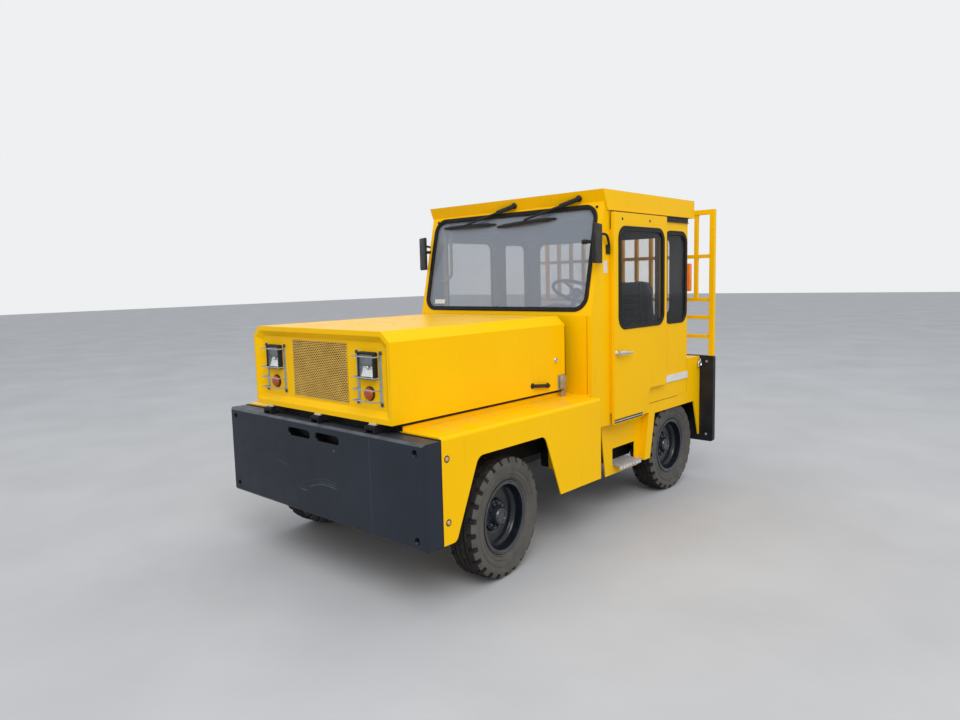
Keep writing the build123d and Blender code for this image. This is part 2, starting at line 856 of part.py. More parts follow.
# ---------------- hood ----------------
with BuildPart() as hood:
    # chamfered shell open below and behind
    with BuildSketch(xz(hood_rear_y)):
        with BuildLine():
            Polyline(
                (-hood_half, hood_bottom),
                (hood_half, hood_bottom),
                (hood_half, hood_side_top),
                (hood_top_half, hood_top),
                (-hood_top_half, hood_top),
                (-hood_half, hood_side_top),
                close=True,
            )
        make_face()
    extrude(amount=hood_rear_y - hood_front_y)
    with BuildSketch(xz(hood_rear_y)):
        with BuildLine():
            Polyline(
                (-hood_half + hood_sheet, hood_bottom),
                (hood_half - hood_sheet, hood_bottom),
                (hood_half - hood_sheet, hood_side_top - hood_sheet / 2),
                (hood_top_half - hood_sheet / 2, hood_top - hood_sheet),
                (-hood_top_half + hood_sheet / 2, hood_top - hood_sheet),
                (-hood_half + hood_sheet, hood_side_top - hood_sheet / 2),
                close=True,
            )
        make_face()
    extrude(amount=hood_rear_y - hood_front_y - recess_depth - hood_sheet, mode=Mode.SUBTRACT)
    # recess with sloping sides in the front face
    # station, half width, bottom, top, cut of the upper corners across and down
    for station, half, low, high, cut, drop in (
        (
            hood_front_y,
            recess_half + recess_side_slope,
            recess_bottom,
            recess_top + recess_top_slope,
            recess_front_cut,
            recess_front_drop,
        ),
        (
            hood_front_y + recess_depth,
            recess_half,
            recess_bottom + recess_bottom_slope,
            recess_top,
            recess_cut,
            recess_drop,
        ),
    ):
        with BuildSketch(xz(station)):
            with BuildLine():
                Polyline(
                    (-half, low),
                    (half, low),
                    (half, high - drop),
                    (half - cut, high),
                    (-half + cut, high),
                    (-half, high - drop),
                    close=True,
                )
            make_face()
    loft(mode=Mode.SUBTRACT)
    # grille opening
    with BuildSketch(xz(hood_front_y + recess_depth + hood_sheet)):
        with Locations((0, (grille_bottom + grille_top) / 2)):
            Rectangle(2 * grille_half, grille_top - grille_bottom - 30)
    extrude(amount=hood_sheet, mode=Mode.SUBTRACT)
    # hinge barrels on the lower front edge
    for hinge_x in (-hood_hinge_x, 0, hood_hinge_x):
        with BuildSketch(yz(hinge_x - hinge_leaf / 2)):
            with BuildLine():
                Polyline(
                    (hood_front_y, hood_bottom),
                    (hood_front_y + 30, hood_bottom),
                    (hood_front_y + 30, hood_bottom - 12),
                    (hood_hinge_y, hood_hinge_z),
                    (hood_hinge_y - 4, hood_hinge_z + 10),
                    close=True,
                )
            make_face()
            with Locations((hood_hinge_y, hood_hinge_z)):
                Circle(hinge_barrel_radius)
        extrude(amount=hinge_leaf)
        with BuildSketch(yz(hinge_x - hinge_leaf / 2)):
            with Locations((hood_hinge_y, hood_hinge_z)):
                Circle(hinge_pin_radius + pin_fit)
        extrude(amount=hinge_leaf, mode=Mode.SUBTRACT)

with BuildPart() as hood_mount:
    # sill between the fenders' flanges
    with BuildSketch(xz(fender_front_y + fender_sheet)):
        with Locations((0, (sill_bottom + bay_flange_top) / 2)):
            Rectangle(2 * bay_flange_x - fender_sheet, bay_flange_top - sill_bottom)
    extrude(amount=fender_sheet)
    # apron that closes the bay behind the bumper
    with BuildSketch(xz(fender_front_y + fender_sheet)):
        with Locations((0, (apron_bottom + sill_bottom) / 2)):
            Rectangle(2 * fender_inner, sill_bottom - apron_bottom)
    extrude(amount=fender_sheet)
    # ears and pins on the bumper's top edge
    for hinge_x in (-hood_hinge_x, 0, hood_hinge_x):
        with BuildSketch(yz(hinge_x - hinge_leaf / 2 - 12)):
            with Locations((hood_hinge_y, hood_hinge_z)):
                Circle(hinge_pin_radius)
        extrude(amount=hinge_leaf + 24)
        for ear_x in (hinge_x - hinge_leaf / 2 - 12, hinge_x + hinge_leaf / 2 + 1):
            with BuildSketch(yz(ear_x)):
                with BuildLine():
                    Polyline(
                        (hood_hinge_y - 14, bumper_top),
                        (hood_hinge_y + 60, bumper_top),
                        (hood_hinge_y + 14, hood_hinge_z + 6),
                        (hood_hinge_y - 14, hood_hinge_z + 6),
                        close=True,
                    )
                make_face()
                with Locations((hood_hinge_y, hood_hinge_z)):
                    Circle(14)
            extrude(amount=11)

with BuildPart() as grille:
    with BuildSketch(xz(hood_front_y + recess_depth)):
        with Locations((0, (grille_bottom + grille_top) / 2)):
            Rectangle(2 * grille_half, grille_top - grille_bottom - 22)
            with GridLocations(grille_pitch, grille_pitch, grille_columns, grille_rows):
                Rectangle(grille_hole, grille_hole, rotation=45, mode=Mode.SUBTRACT)
    extrude(amount=grille_thickness)

with BuildPart() as headlamps:
    with BuildSketch(xz(hood_front_y + recess_depth)):
        with Locations((-lamp_x, (lamp_bottom + lamp_top) / 2), (lamp_x, (lamp_bottom + lamp_top) / 2)):
            RectangleRounded(lamp_width, lamp_top - lamp_bottom, 10)
    extrude(amount=lamp_depth)

with BuildPart() as indicators:
    with BuildSketch(xz(hood_front_y + recess_depth)):
        with Locations((-lamp_x, indicator_z), (lamp_x, indicator_z)):
            Circle(indicator_radius)
    extrude(amount=indicator_depth)

guard_front_y = hood_front_y + recess_depth - guard_reach

with BuildPart() as lamp_guards:
    for side in (1, -1):
        # flat strips on the panel
        with BuildSketch(xz(hood_front_y + recess_depth)):
            with Locations((side * lamp_x, (guard_bottom + guard_top) / 2)):
                with GridLocations(2 * guard_half, 0, 2, 1):
                    Rectangle(guard_strip, guard_top - guard_bottom)
        extrude(amount=guard_sheet)
        # rods across lamp and indicator, with legs back to the strips
        for rod_z in (lamp_top - 24, lamp_bottom + 13, indicator_z + 26, indicator_z - 38):
            with BuildSketch(yz(side * lamp_x - guard_half - guard_rod)):
                with Locations((guard_front_y, rod_z)):
                    Circle(guard_rod)
            extrude(amount=2 * (guard_half + guard_rod))
            with BuildSketch(xz(hood_front_y + recess_depth)):
                with Locations((side * lamp_x - guard_half, rod_z), (side * lamp_x + guard_half, rod_z)):
                    Circle(guard_rod)
            extrude(amount=guard_reach)

# ---------------- interior ----------------
with BuildPart() as seat_frame:
    with BuildSketch(xy(cab_floor_z)):
        with Locations((seat_x, (seat_front_y + seat_back_y) / 2)):
            Rectangle(2 * seat_half - 60, seat_back_y - seat_front_y - 40)
    extrude(amount=seat_base_top - cab_floor_z)
    with BuildSketch(xy(seat_base_top - 30)):
        with Locations((seat_x, seat_back_y + back_thickness + 10)):
            Rectangle(2 * seat_half - 80, 20)
        with Locations((seat_x, seat_back_y + back_thickness / 2)):
            Rectangle(2 * seat_half - 100, back_thickness)
    extrude(amount=30)
    with BuildSketch(xy(seat_base_top)):
        with Locations((seat_x, seat_back_y + back_thickness + 10)):
            Rectangle(2 * seat_half - 80, 20)
    extrude(amount=seat_back_top - seat_base_top - 60)

with BuildPart() as seat_cushion:
    with BuildSketch(xy(seat_base_top)):
        with Locations((seat_x, (seat_front_y + seat_back_y) / 2)):
            Rectangle(2 * seat_half, seat_back_y - seat_front_y)
    extrude(amount=cushion_thickness)
    fillet(seat_cushion.edges().group_by(Axis.Z)[-1], 25)

with BuildPart() as seat_back:
    with BuildSketch(xz(seat_back_y + back_thickness)):
        with Locations((seat_x, (seat_base_top + cushion_thickness / 2 + seat_back_top) / 2)):
            RectangleRounded(2 * seat_half, seat_back_top - seat_base_top - cushion_thickness / 2, 60)
    extrude(amount=back_thickness - fit_gap)

column_axis = Vector(0, sin(radians(wheel_tilt)), cos(radians(wheel_tilt)))
column_across = Vector(0, cos(radians(wheel_tilt)), -sin(radians(wheel_tilt)))
wheel_centre = Vector(seat_x - 25, wheel_centre_y, wheel_centre_z)
column_foot = wheel_centre - column_axis * column_length
with BuildPart() as dashboard:
    # instrument housing, square to the column where they meet
    high = column_foot - column_across * housing_reach
    low = column_foot + column_across * housing_reach
    with BuildSketch(yz(wheel_centre.X - housing_half)):
        with BuildLine():
            Polyline(
                (cab_front_y + cab_wall, dash_bottom + 60),
                (low.Y - 60, dash_bottom + 60),
                (low.Y, low.Z),
                (high.Y, high.Z),
                (high.Y - 70, high.Z + 10),
                (cab_front_y + cab_wall + 90, dash_top),
                (cab_front_y + cab_wall, dash_top),
                close=True,
            )
        make_face()
    extrude(amount=2 * housing_half)
    with BuildSketch(yz(-(cab_half - cab_wall))):
        with BuildLine():
            Polyline(
                (cab_front_y + cab_wall, dash_bottom),
                (cab_front_y + cab_wall + dash_depth - 80, dash_bottom),
                (cab_front_y + cab_wall + dash_depth, dash_top - 80),
                (cab_front_y + cab_wall + dash_depth - 40, dash_top),
                (cab_front_y + cab_wall, dash_top),
                close=True,
            )
        make_face()
    extrude(amount=2 * (cab_half - cab_wall))

wheel_plane = Plane(origin=wheel_centre, x_dir=(1, 0, 0), z_dir=column_axis)
with BuildPart() as steering_wheel:
    with BuildSketch(Plane(origin=wheel_centre, x_dir=(1, 0, 0), z_dir=column_axis.cross(Vector(1, 0, 0)))):
        with Locations((steering_wheel_radius, 0)):
            RegularPolygon(steering_rim_radius, 10)
    revolve(axis=Axis(wheel_centre, column_axis))
    with BuildSketch(wheel_plane.offset(-30)):
        Circle(38)
    extrude(amount=36)
    with BuildSketch(wheel_plane.offset(-8)):
        with PolarLocations(steering_wheel_radius / 2, 3, start_angle=-90):
            Rectangle(steering_wheel_radius - 8, 24)
    extrude(amount=8)
    with BuildSketch(wheel_plane.offset(-30)):
        Circle(20)
    extrude(amount=30 - column_length)

# ---------------- mirrors, wipers, tail lamps ----------------
with BuildPart() as mirrors:
    # side, place and turn of the mirror, and where its arm ends; the left one is folded in, the right one is out
    for side, middle_x, middle_y, turn, arm_end_y in (
        (1, mirror_x, mirror_y, mirror_turn, mirror_y + 60),
        (-1, far_mirror_x, far_mirror_y, far_mirror_turn, far_mirror_y),
    ):
        turned = Plane(
            origin=(side * middle_x, middle_y, mirror_z - mirror_height / 2),
            x_dir=(-side * sin(radians(turn)), cos(radians(turn)), 0),
            z_dir=(0, 0, 1),
        )
        with BuildSketch(turned):
            RectangleRounded(mirror_width, mirror_thickness, 8)
        extrude(amount=mirror_height)
        # arm out of the cab side that bends forward to the mirror's edge
        with BuildLine(xy(mirror_arm_z)) as arm:
            FilletPolyline(
                (side * cab_half, mirror_arm_y),
                (side * mirror_arm_x, mirror_arm_y),
                (side * mirror_arm_x, arm_end_y),
                radius=mirror_arm_bend,
            )
        with BuildSketch(Plane(origin=arm.line @ 0, z_dir=arm.line % 0)):
            Circle(mirror_arm_radius)
        sweep()

# the roof's slanted front, and the glass, as places for a wiper's two ends
lip_y = roof_front_top_y + (roof_top - wiper_lip_z) * (roof_front_bottom_y - roof_front_top_y) / (roof_top - roof_skirt)
lip_out = Vector(0, -(roof_top - roof_skirt), -(roof_front_bottom_y - roof_front_top_y)).normalized()
glass_out = Vector(0, -rake_rise, rake_run).normalized()


def on_glass(x, z):
    return Vector(x, rake_y(z) + 12, z)


with BuildPart() as wipers:
    # pivot x as a share of the cab's half width, then the blade's ends as such a share and a drop from the top
    for pivot_share, (near_share, near_drop), (far_share, far_drop) in (
        (0.763, (0.529, 93), (-0.143, 117)),
        (0.060, (-0.162, 96), (-0.840, 91)),
    ):
        near = on_glass(near_share * cab_half, cab_top - near_drop)
        far = on_glass(far_share * cab_half, cab_top - far_drop)
        middle = (near + far) * 0.5
        hub = Vector(pivot_share * cab_half, lip_y, wiper_lip_z)
        with BuildSketch(Plane(origin=hub, x_dir=(1, 0, 0), z_dir=lip_out)):
            Circle(wiper_hub_radius)
        extrude(amount=wiper_hub_length)
        # arm: deep at the pivot, slim at the blade
        start = hub + lip_out * (wiper_hub_length - wiper_arm_width / 2)
        tip = middle + glass_out * wiper_arm_height
        along_arm = (tip - start).normalized()
        reach = (tip - start).length
        arm_up = along_arm.cross(glass_out).cross(along_arm)
        with BuildSketch(Plane(origin=start, x_dir=along_arm, z_dir=arm_up)):
            with BuildLine():
                Polyline(
                    (-wiper_arm_root, -wiper_arm_root),
                    (0.3 * reach, -wiper_arm_root),
                    (0.36 * reach, -wiper_arm_tip),
                    (reach + wiper_arm_tip, -wiper_arm_tip),
                    (reach + wiper_arm_tip, wiper_arm_tip),
                    (0.36 * reach, wiper_arm_tip),
                    (0.3 * reach, wiper_arm_root),
                    (-wiper_arm_root, wiper_arm_root),
                    close=True,
                )
            make_face()
        extrude(amount=-wiper_arm_width)
        # blade on the glass, with the block that joins it to the arm
        blade = Plane(origin=middle, x_dir=near - far, z_dir=glass_out)
        for share, height in ((1, 14), (0.5, 22), (0.03, wiper_arm_height)):
            with BuildSketch(blade):
                Rectangle(share * (near - far).length, wiper_blade_width)
            extrude(amount=height)

with BuildPart() as tail_lamps:
    with BuildSketch(xz(cab_rear_y + tail_lamp_depth)):
        with Locations((-tail_lamp_x, tail_lamp_z), (tail_lamp_x, tail_lamp_z)):
            RectangleRounded(tail_lamp_width, tail_lamp_height, 8)
    extrude(amount=tail_lamp_depth)

# ---------------- axles ----------------
# half profile of the differential's turned housing: along the axle, from its line
housing_profile = (
    (-diff_half, 0),
    (-diff_half, diff_radius - 56),
    (-diff_half + 48, diff_radius - 16),
    (-diff_half + 72, diff_radius),
    (diff_half - 72, diff_radius),
    (diff_half - 48, diff_radius - 16),
    (diff_half, diff_radius - 56),
    (diff_half, 0),
)

with BuildPart() as front_axle:
    with BuildSketch(yz(-(kingpin_x - yoke_back - 10))):
        with Locations((front_axle_y, axle_z)):
            Circle(axle_tube_radius)
    extrude(amount=2 * (kingpin_x - yoke_back - 10))
    with BuildSketch(xz(front_axle_y)):
        with BuildLine():
            Polyline(*[(x, axle_z + r) for x, r in housing_profile], close=True)
        make_face()
    revolve(axis=Axis((0, front_axle_y, axle_z), (1, 0, 0)))
    # nose that meets the drive shaft
    with BuildSketch(xz(front_axle_y)):
        with Locations((0, axle_z + shaft_rise)):
            Circle(pinion_radius)
    extrude(amount=-pinion_reach)
    for side in (1, -1):
        with BuildSketch(xz(front_axle_y + ear_half_width)):
            with BuildLine():
                Polyline(
                    (side * (kingpin_x - yoke_back - 22), axle_z - ear_inner - ear_thickness),
                    (side * (kingpin_x + ear_reach), axle_z - ear_inner - ear_thickness),
                    (side * (kingpin_x + ear_reach), axle_z - ear_inner),
                    (side * (kingpin_x - yoke_back), axle_z - ear_inner),
                    (side * (kingpin_x - yoke_back), axle_z + ear_inner),
                    (side * (kingpin_x + ear_reach), axle_z + ear_inner),
                    (side * (kingpin_x + ear_reach), axle_z + ear_inner + ear_thickness),
                    (side * (kingpin_x - yoke_back - 22), axle_z + ear_inner + ear_thickness),
                    close=True,
                )
            make_face()
        extrude(amount=2 * ear_half_width)
        with BuildSketch(xy(axle_z - kingpin_height / 2)):
            with Locations((side * kingpin_x, front_axle_y)):
                Circle(kingpin_radius + pin_fit)
        extrude(amount=kingpin_height, mode=Mode.SUBTRACT)
        with BuildSketch(xy(axle_z)):
            with Locations((side * rail_x, front_axle_y)):
                Rectangle(spring_width + 20, 110)
        extrude(amount=spring_seat_z - axle_z)

with BuildPart() as rear_axle:
    with BuildSketch(yz(-(rear_tyre_outer - tyre_width - 25))):
        with Locations((rear_axle_y, axle_z)):
            Circle(axle_tube_radius)
    extrude(amount=2 * (rear_tyre_outer - tyre_width - 25))
    with BuildSketch(xz(rear_axle_y)):
        with BuildLine():
            Polyline(*[(x, axle_z + r) for x, r in housing_profile], close=True)
        make_face()
    revolve(axis=Axis((0, rear_axle_y, axle_z), (1, 0, 0)))
    # nose that meets the drive shaft
    with BuildSketch(xz(rear_axle_y)):
        with Locations((0, axle_z + shaft_rise)):
            Circle(pinion_radius)
    extrude(amount=pinion_reach)
    for side in (1, -1):
        with BuildSketch(yz(side * (rear_tyre_outer - tyre_width - 25))):
            with Locations((rear_axle_y, axle_z)):
                Circle(drum_radius)
        extrude(amount=side * drum_width)
        with BuildSketch(yz(side * (rear_tyre_outer - tyre_width - 25))):
            with Locations((rear_axle_y, axle_z)):
                Circle(spindle_radius)
        extrude(amount=side * (spindle_length - drum_offset))
        with BuildSketch(xy(axle_z)):
            with Locations((side * rail_x, rear_axle_y)):
                Rectangle(spring_width + 20, 110)
        extrude(amount=spring_seat_z - axle_z)

with BuildPart() as leaf_springs:
    for axle_y in (front_axle_y, rear_axle_y):
        for side in (1, -1):
            with BuildSketch(yz(side * (rail_x + spring_width / 2))):
                with BuildLine():
                    low = ThreePointArc(
                        (axle_y - spring_half_length, spring_seat_z + spring_rise),
                        (axle_y, spring_seat_z),
                        (axle_y + spring_half_length, spring_seat_z + spring_rise),
                    )
                    high = ThreePointArc(
                        (axle_y - spring_half_length, spring_seat_z + spring_rise + spring_thickness),
                        (axle_y, spring_seat_z + spring_thickness),
                        (axle_y + spring_half_length, spring_seat_z + spring_rise + spring_thickness),
                    )
                    Line(low @ 0, high @ 0)
                    Line(low @ 1, high @ 1)
                make_face()
            extrude(amount=-side * spring_width)

# ---------------- steering ----------------
steer = radians(steer_angle)


def steered_plane(side, z):
    """Horizontal plane at a kingpin, local x along the wheel's axle to the outside."""
    return Plane(
        origin=(side * kingpin_x, front_axle_y, z),
        x_dir=(side * cos(steer), side * sin(steer), 0),
        z_dir=(0, 0, 1),
    )


def arm_end(side):
    return Vector(side * kingpin_x - arm_length * sin(steer), front_axle_y + arm_length * cos(steer), 0)


for side, name in ((1, "knuckle_left"), (-1, "knuckle_right")):
    outward = Vector(side * cos(steer), side * sin(steer), 0)
    axle_face = Plane(origin=(side * kingpin_x, front_axle_y, axle_z), x_dir=(0, 0, 1), z_dir=tuple(outward))
    with BuildPart() as knuckle:
        # boss between the ears, with its kingpin
        with BuildSketch(steered_plane(side, axle_z - ear_inner + fit_gap)):
            Circle(knuckle_radius)
        extrude(amount=2 * (ear_inner - fit_gap))
        with BuildSketch(steered_plane(side, axle_z - kingpin_height / 2)):
            Circle(kingpin_radius)
        extrude(amount=kingpin_height)
        # neck, brake drum and spindle
        with BuildSketch(axle_face):
            Rectangle(90, 50)
        extrude(amount=drum_offset)
        with BuildSketch(axle_face.offset(drum_offset)):
            Circle(drum_radius)
        extrude(amount=drum_width)
        with BuildSketch(axle_face.offset(drum_offset)):
            Circle(spindle_radius)
        extrude(amount=spindle_length - drum_offset)
        # steering arm to the rear, with its pin
        with BuildSketch(steered_plane(side, axle_z - arm_drop)):
            with Locations((0, side * arm_length / 2)):
                Rectangle(arm_width, arm_length)
            with Locations((0, side * arm_length)):
                Circle(arm_width / 2)
        extrude(amount=arm_thickness)
        with BuildSketch(steered_plane(side, axle_z - arm_drop)):
            with Locations((0, side * arm_length)):
                Circle(tie_pin_radius)
        extrude(amount=-34)
    knuckle.part.label = name
    export_step(knuckle.part, f"parts/{name}.step")

left_end = arm_end(1)
right_end = arm_end(-1)
tie_z = axle_z - arm_drop - fit_gap - tie_rod_radius
with BuildPart() as tie_rod:
    for end in (left_end, right_end):
        with BuildSketch(xy(tie_z - tie_rod_radius)):
            with Locations((end.X, end.Y)):
                Circle(tie_eye_radius)
        extrude(amount=2 * tie_rod_radius)
    with BuildSketch(yz(right_end.X + tie_eye_radius - 4)):
        with Locations((left_end.Y, tie_z)):
            Circle(tie_rod_radius)
    extrude(amount=left_end.X - right_end.X - 2 * tie_eye_radius + 8)
    for end, hole in ((left_end, tie_pin_radius + pin_fit), (right_end, tie_pin_radius + open_pin_gap)):
        with BuildSketch(xy(tie_z - tie_rod_radius)):
            with Locations((end.X, end.Y)):
                Circle(hole)
        extrude(amount=2 * tie_rod_radius, mode=Mode.SUBTRACT)

# ---------------- wheels ----------------
front_reach = front_tyre_outer - kingpin_x
# name, side, centre x, centre y, turned by the steering
wheels = (
    ("front_left", 1, front_axle_y, True),
    ("front_right", -1, front_axle_y, True),
    ("rear_left", 1, rear_axle_y, False),
    ("rear_right", -1, rear_axle_y, False),
)
for wheel_name, side, axle_y, steered in wheels:
    # the profile is drawn outwards along the axle from the tyre's inner face
    if steered:
        outward = Vector(side * cos(steer), side * sin(steer), 0)
        pivot = Vector(side * kingpin_x, axle_y, axle_z)
        inner_face = pivot + outward * (front_reach - tyre_width)
        spindle_start = drum_offset + drum_width - (front_reach - tyre_width)
        spindle_end = spindle_length - (front_reach - tyre_width)
    else:
        outward = Vector(side, 0, 0)
        inner_face = Vector(side * (rear_tyre_outer - tyre_width), axle_y, axle_z)
        spindle_start = drum_width - 25
        spindle_end = spindle_length - drum_offset - 25
    profile_plane = Plane(origin=inner_face, x_dir=tuple(outward), z_dir=tuple(outward.cross(Vector(0, 0, 1))))
    spin_axis = Axis(inner_face, outward)
    rim_in = (tyre_width - rim_width) / 2
    rim_out = tyre_width - rim_in
    hub_in = spindle_start + fit_gap
    with BuildPart() as rim:
        with BuildSketch(profile_plane):
            with BuildLine():
                Polyline(
                    (hub_in, spindle_radius + pin_fit),
                    (hub_in, 60),
                    (rim_in + 62, 60),
                    (rim_in + 62, bead_radius - 30),
                    (rim_in + 30, bead_radius - 30),
                    (rim_in + 10, bead_radius - rim_wall),
                    (rim_in, bead_radius - rim_wall),
                    (rim_in, rim_flange_radius),
                    (rim_in + 8, rim_flange_radius),
                    (rim_in + 8, bead_radius),
                    (rim_in + 20, bead_radius),
                    (rim_in + 40, bead_radius - 20),
                    (rim_in + 80, bead_radius - 20),
                    (rim_in + 100, bead_radius),
                    (rim_out - 8, bead_radius),
                    (rim_out - 8, rim_flange_radius),
                    (rim_out, rim_flange_radius),
                    (rim_out, bead_radius - rim_wall),
                    (rim_in + 104, bead_radius - rim_wall),
                    (rim_in + 84, bead_radius - 30),
                    (rim_in + 74, bead_radius - 30),
                    (rim_in + 74, 75),
                    (spindle_end - 10, 60),
                    (spindle_end + 14, 50),
                    (spindle_end + 14, 0),
                    (spindle_end + fit_gap, 0),
                    (spindle_end + fit_gap, spindle_radius + pin_fit),
                    close=True,
                )
            make_face()
        revolve(axis=spin_axis)
    rim.part.label = f"rim_{wheel_name}"
    export_step(rim.part, f"parts/rim_{wheel_name}.step")
    with BuildPart() as tyre:
        with BuildSketch(profile_plane):
            with BuildLine():
                Polyline(
                    (rim_in + 8 + fit_gap, bead_radius + fit_gap),
                    (rim_in + 8 + fit_gap, rim_flange_radius),
                    (8, 262),
                    (0, 300),
                    (6, 345),
                    (28, tyre_radius),
                    (tyre_width - 28, tyre_radius),
                    (tyre_width - 6, 345),
                    (tyre_width, 300),
                    (tyre_width - 8, 262),
                    (rim_out - 8 - fit_gap, rim_flange_radius),
                    (rim_out - 8 - fit_gap, bead_radius + fit_gap),
                    close=True,
                )
            make_face()
        revolve(axis=spin_axis)
    tyre.part.label = f"tyre_{wheel_name}"
    export_step(tyre.part, f"parts/tyre_{wheel_name}.step")

named = {
    "chassis_frame": chassis_frame,
    "outriggers": outriggers,
    "front_bumper": front_bumper,
    "rear_bumper": rear_bumper,
    "tow_coupling": tow_coupling,
    "engine_block": engine_block,
    "driveline": driveline,
    "side_tanks": side_tanks,
    "rear_body": rear_body,
    "step_panels": step_panels,
    "step_treads": step_treads,
    "cab_floor": cab_floor,
    "cab_front": cab_front,
    "cab_glass": cab_glass,
    "cab_rear": cab_rear,
    "roof": roof,
    "door_tracks": door_tracks,
    "rear_guard": rear_guard,
    "hood": hood,
    "hood_mount": hood_mount,
    "grille": grille,
    "headlamps": headlamps,
    "indicators": indicators,
    "lamp_guards": lamp_guards,
    "seat_frame": seat_frame,
    "seat_cushion": seat_cushion,
    "seat_back": seat_back,
    "dashboard": dashboard,
    "steering_wheel": steering_wheel,
    "mirrors": mirrors,
    "wipers": wipers,
    "tail_lamps": tail_lamps,
    "front_axle": front_axle,
    "rear_axle": rear_axle,
    "leaf_springs": leaf_springs,
    "tie_rod": tie_rod,
}
for name, piece in named.items():
    piece.part.label = name
    export_step(piece.part, f"parts/{name}.step")
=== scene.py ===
import json
import math

import bmesh
import bpy
from mathutils import Matrix, Vector


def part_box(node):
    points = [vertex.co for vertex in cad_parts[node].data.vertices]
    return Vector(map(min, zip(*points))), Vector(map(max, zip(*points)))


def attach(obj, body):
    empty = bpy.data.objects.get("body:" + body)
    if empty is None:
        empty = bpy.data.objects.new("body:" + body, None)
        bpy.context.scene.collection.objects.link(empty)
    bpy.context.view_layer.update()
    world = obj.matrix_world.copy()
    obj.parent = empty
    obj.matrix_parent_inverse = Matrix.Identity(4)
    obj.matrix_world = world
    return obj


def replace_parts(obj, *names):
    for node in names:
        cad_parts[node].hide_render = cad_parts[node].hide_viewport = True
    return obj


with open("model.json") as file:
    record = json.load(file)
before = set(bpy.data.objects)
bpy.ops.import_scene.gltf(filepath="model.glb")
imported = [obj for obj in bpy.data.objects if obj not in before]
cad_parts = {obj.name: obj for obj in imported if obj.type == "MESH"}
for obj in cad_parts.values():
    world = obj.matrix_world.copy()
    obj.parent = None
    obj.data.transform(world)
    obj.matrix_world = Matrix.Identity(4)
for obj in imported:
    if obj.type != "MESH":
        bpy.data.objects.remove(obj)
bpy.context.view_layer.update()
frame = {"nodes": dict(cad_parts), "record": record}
nodes = frame["nodes"]

# Driving dimensions, in metres; a place's y counts from the bumper's face
FRONT = -1.8
SIDES = (("left", 1), ("right", -1))
SILL_Y, SILL_Z = 1.723, 1.512           # foot of the raked windshield
RAKE_RUN, RAKE_RISE = 0.179, 0.802
SLOPE = RAKE_RUN / RAKE_RISE
RAKE = math.atan2(RAKE_RUN, RAKE_RISE)
UP_RAKE = Vector((0, math.sin(RAKE), math.cos(RAKE)))
OFF_RAKE = Vector((0, -math.cos(RAKE), math.sin(RAKE)))
CAB_SIDE, DOOR_FACE, HOOD_SIDE = 0.848, 0.886, 0.681
GLASS_LIFT = 0.012                      # the windshield's face ahead of the rake plane
ALONG, ACROSS, UP = (0, 1, 0), (1, 0, 0), (0, 0, 1)


def rake_y(z):
    return FRONT + SILL_Y + max(0.0, z - SILL_Z) * SLOPE


def spot(side, x, y, z):
    """Point by its distance to one side, behind the bumper's face and above the ground."""
    return Vector((side * x, FRONT + y, z))


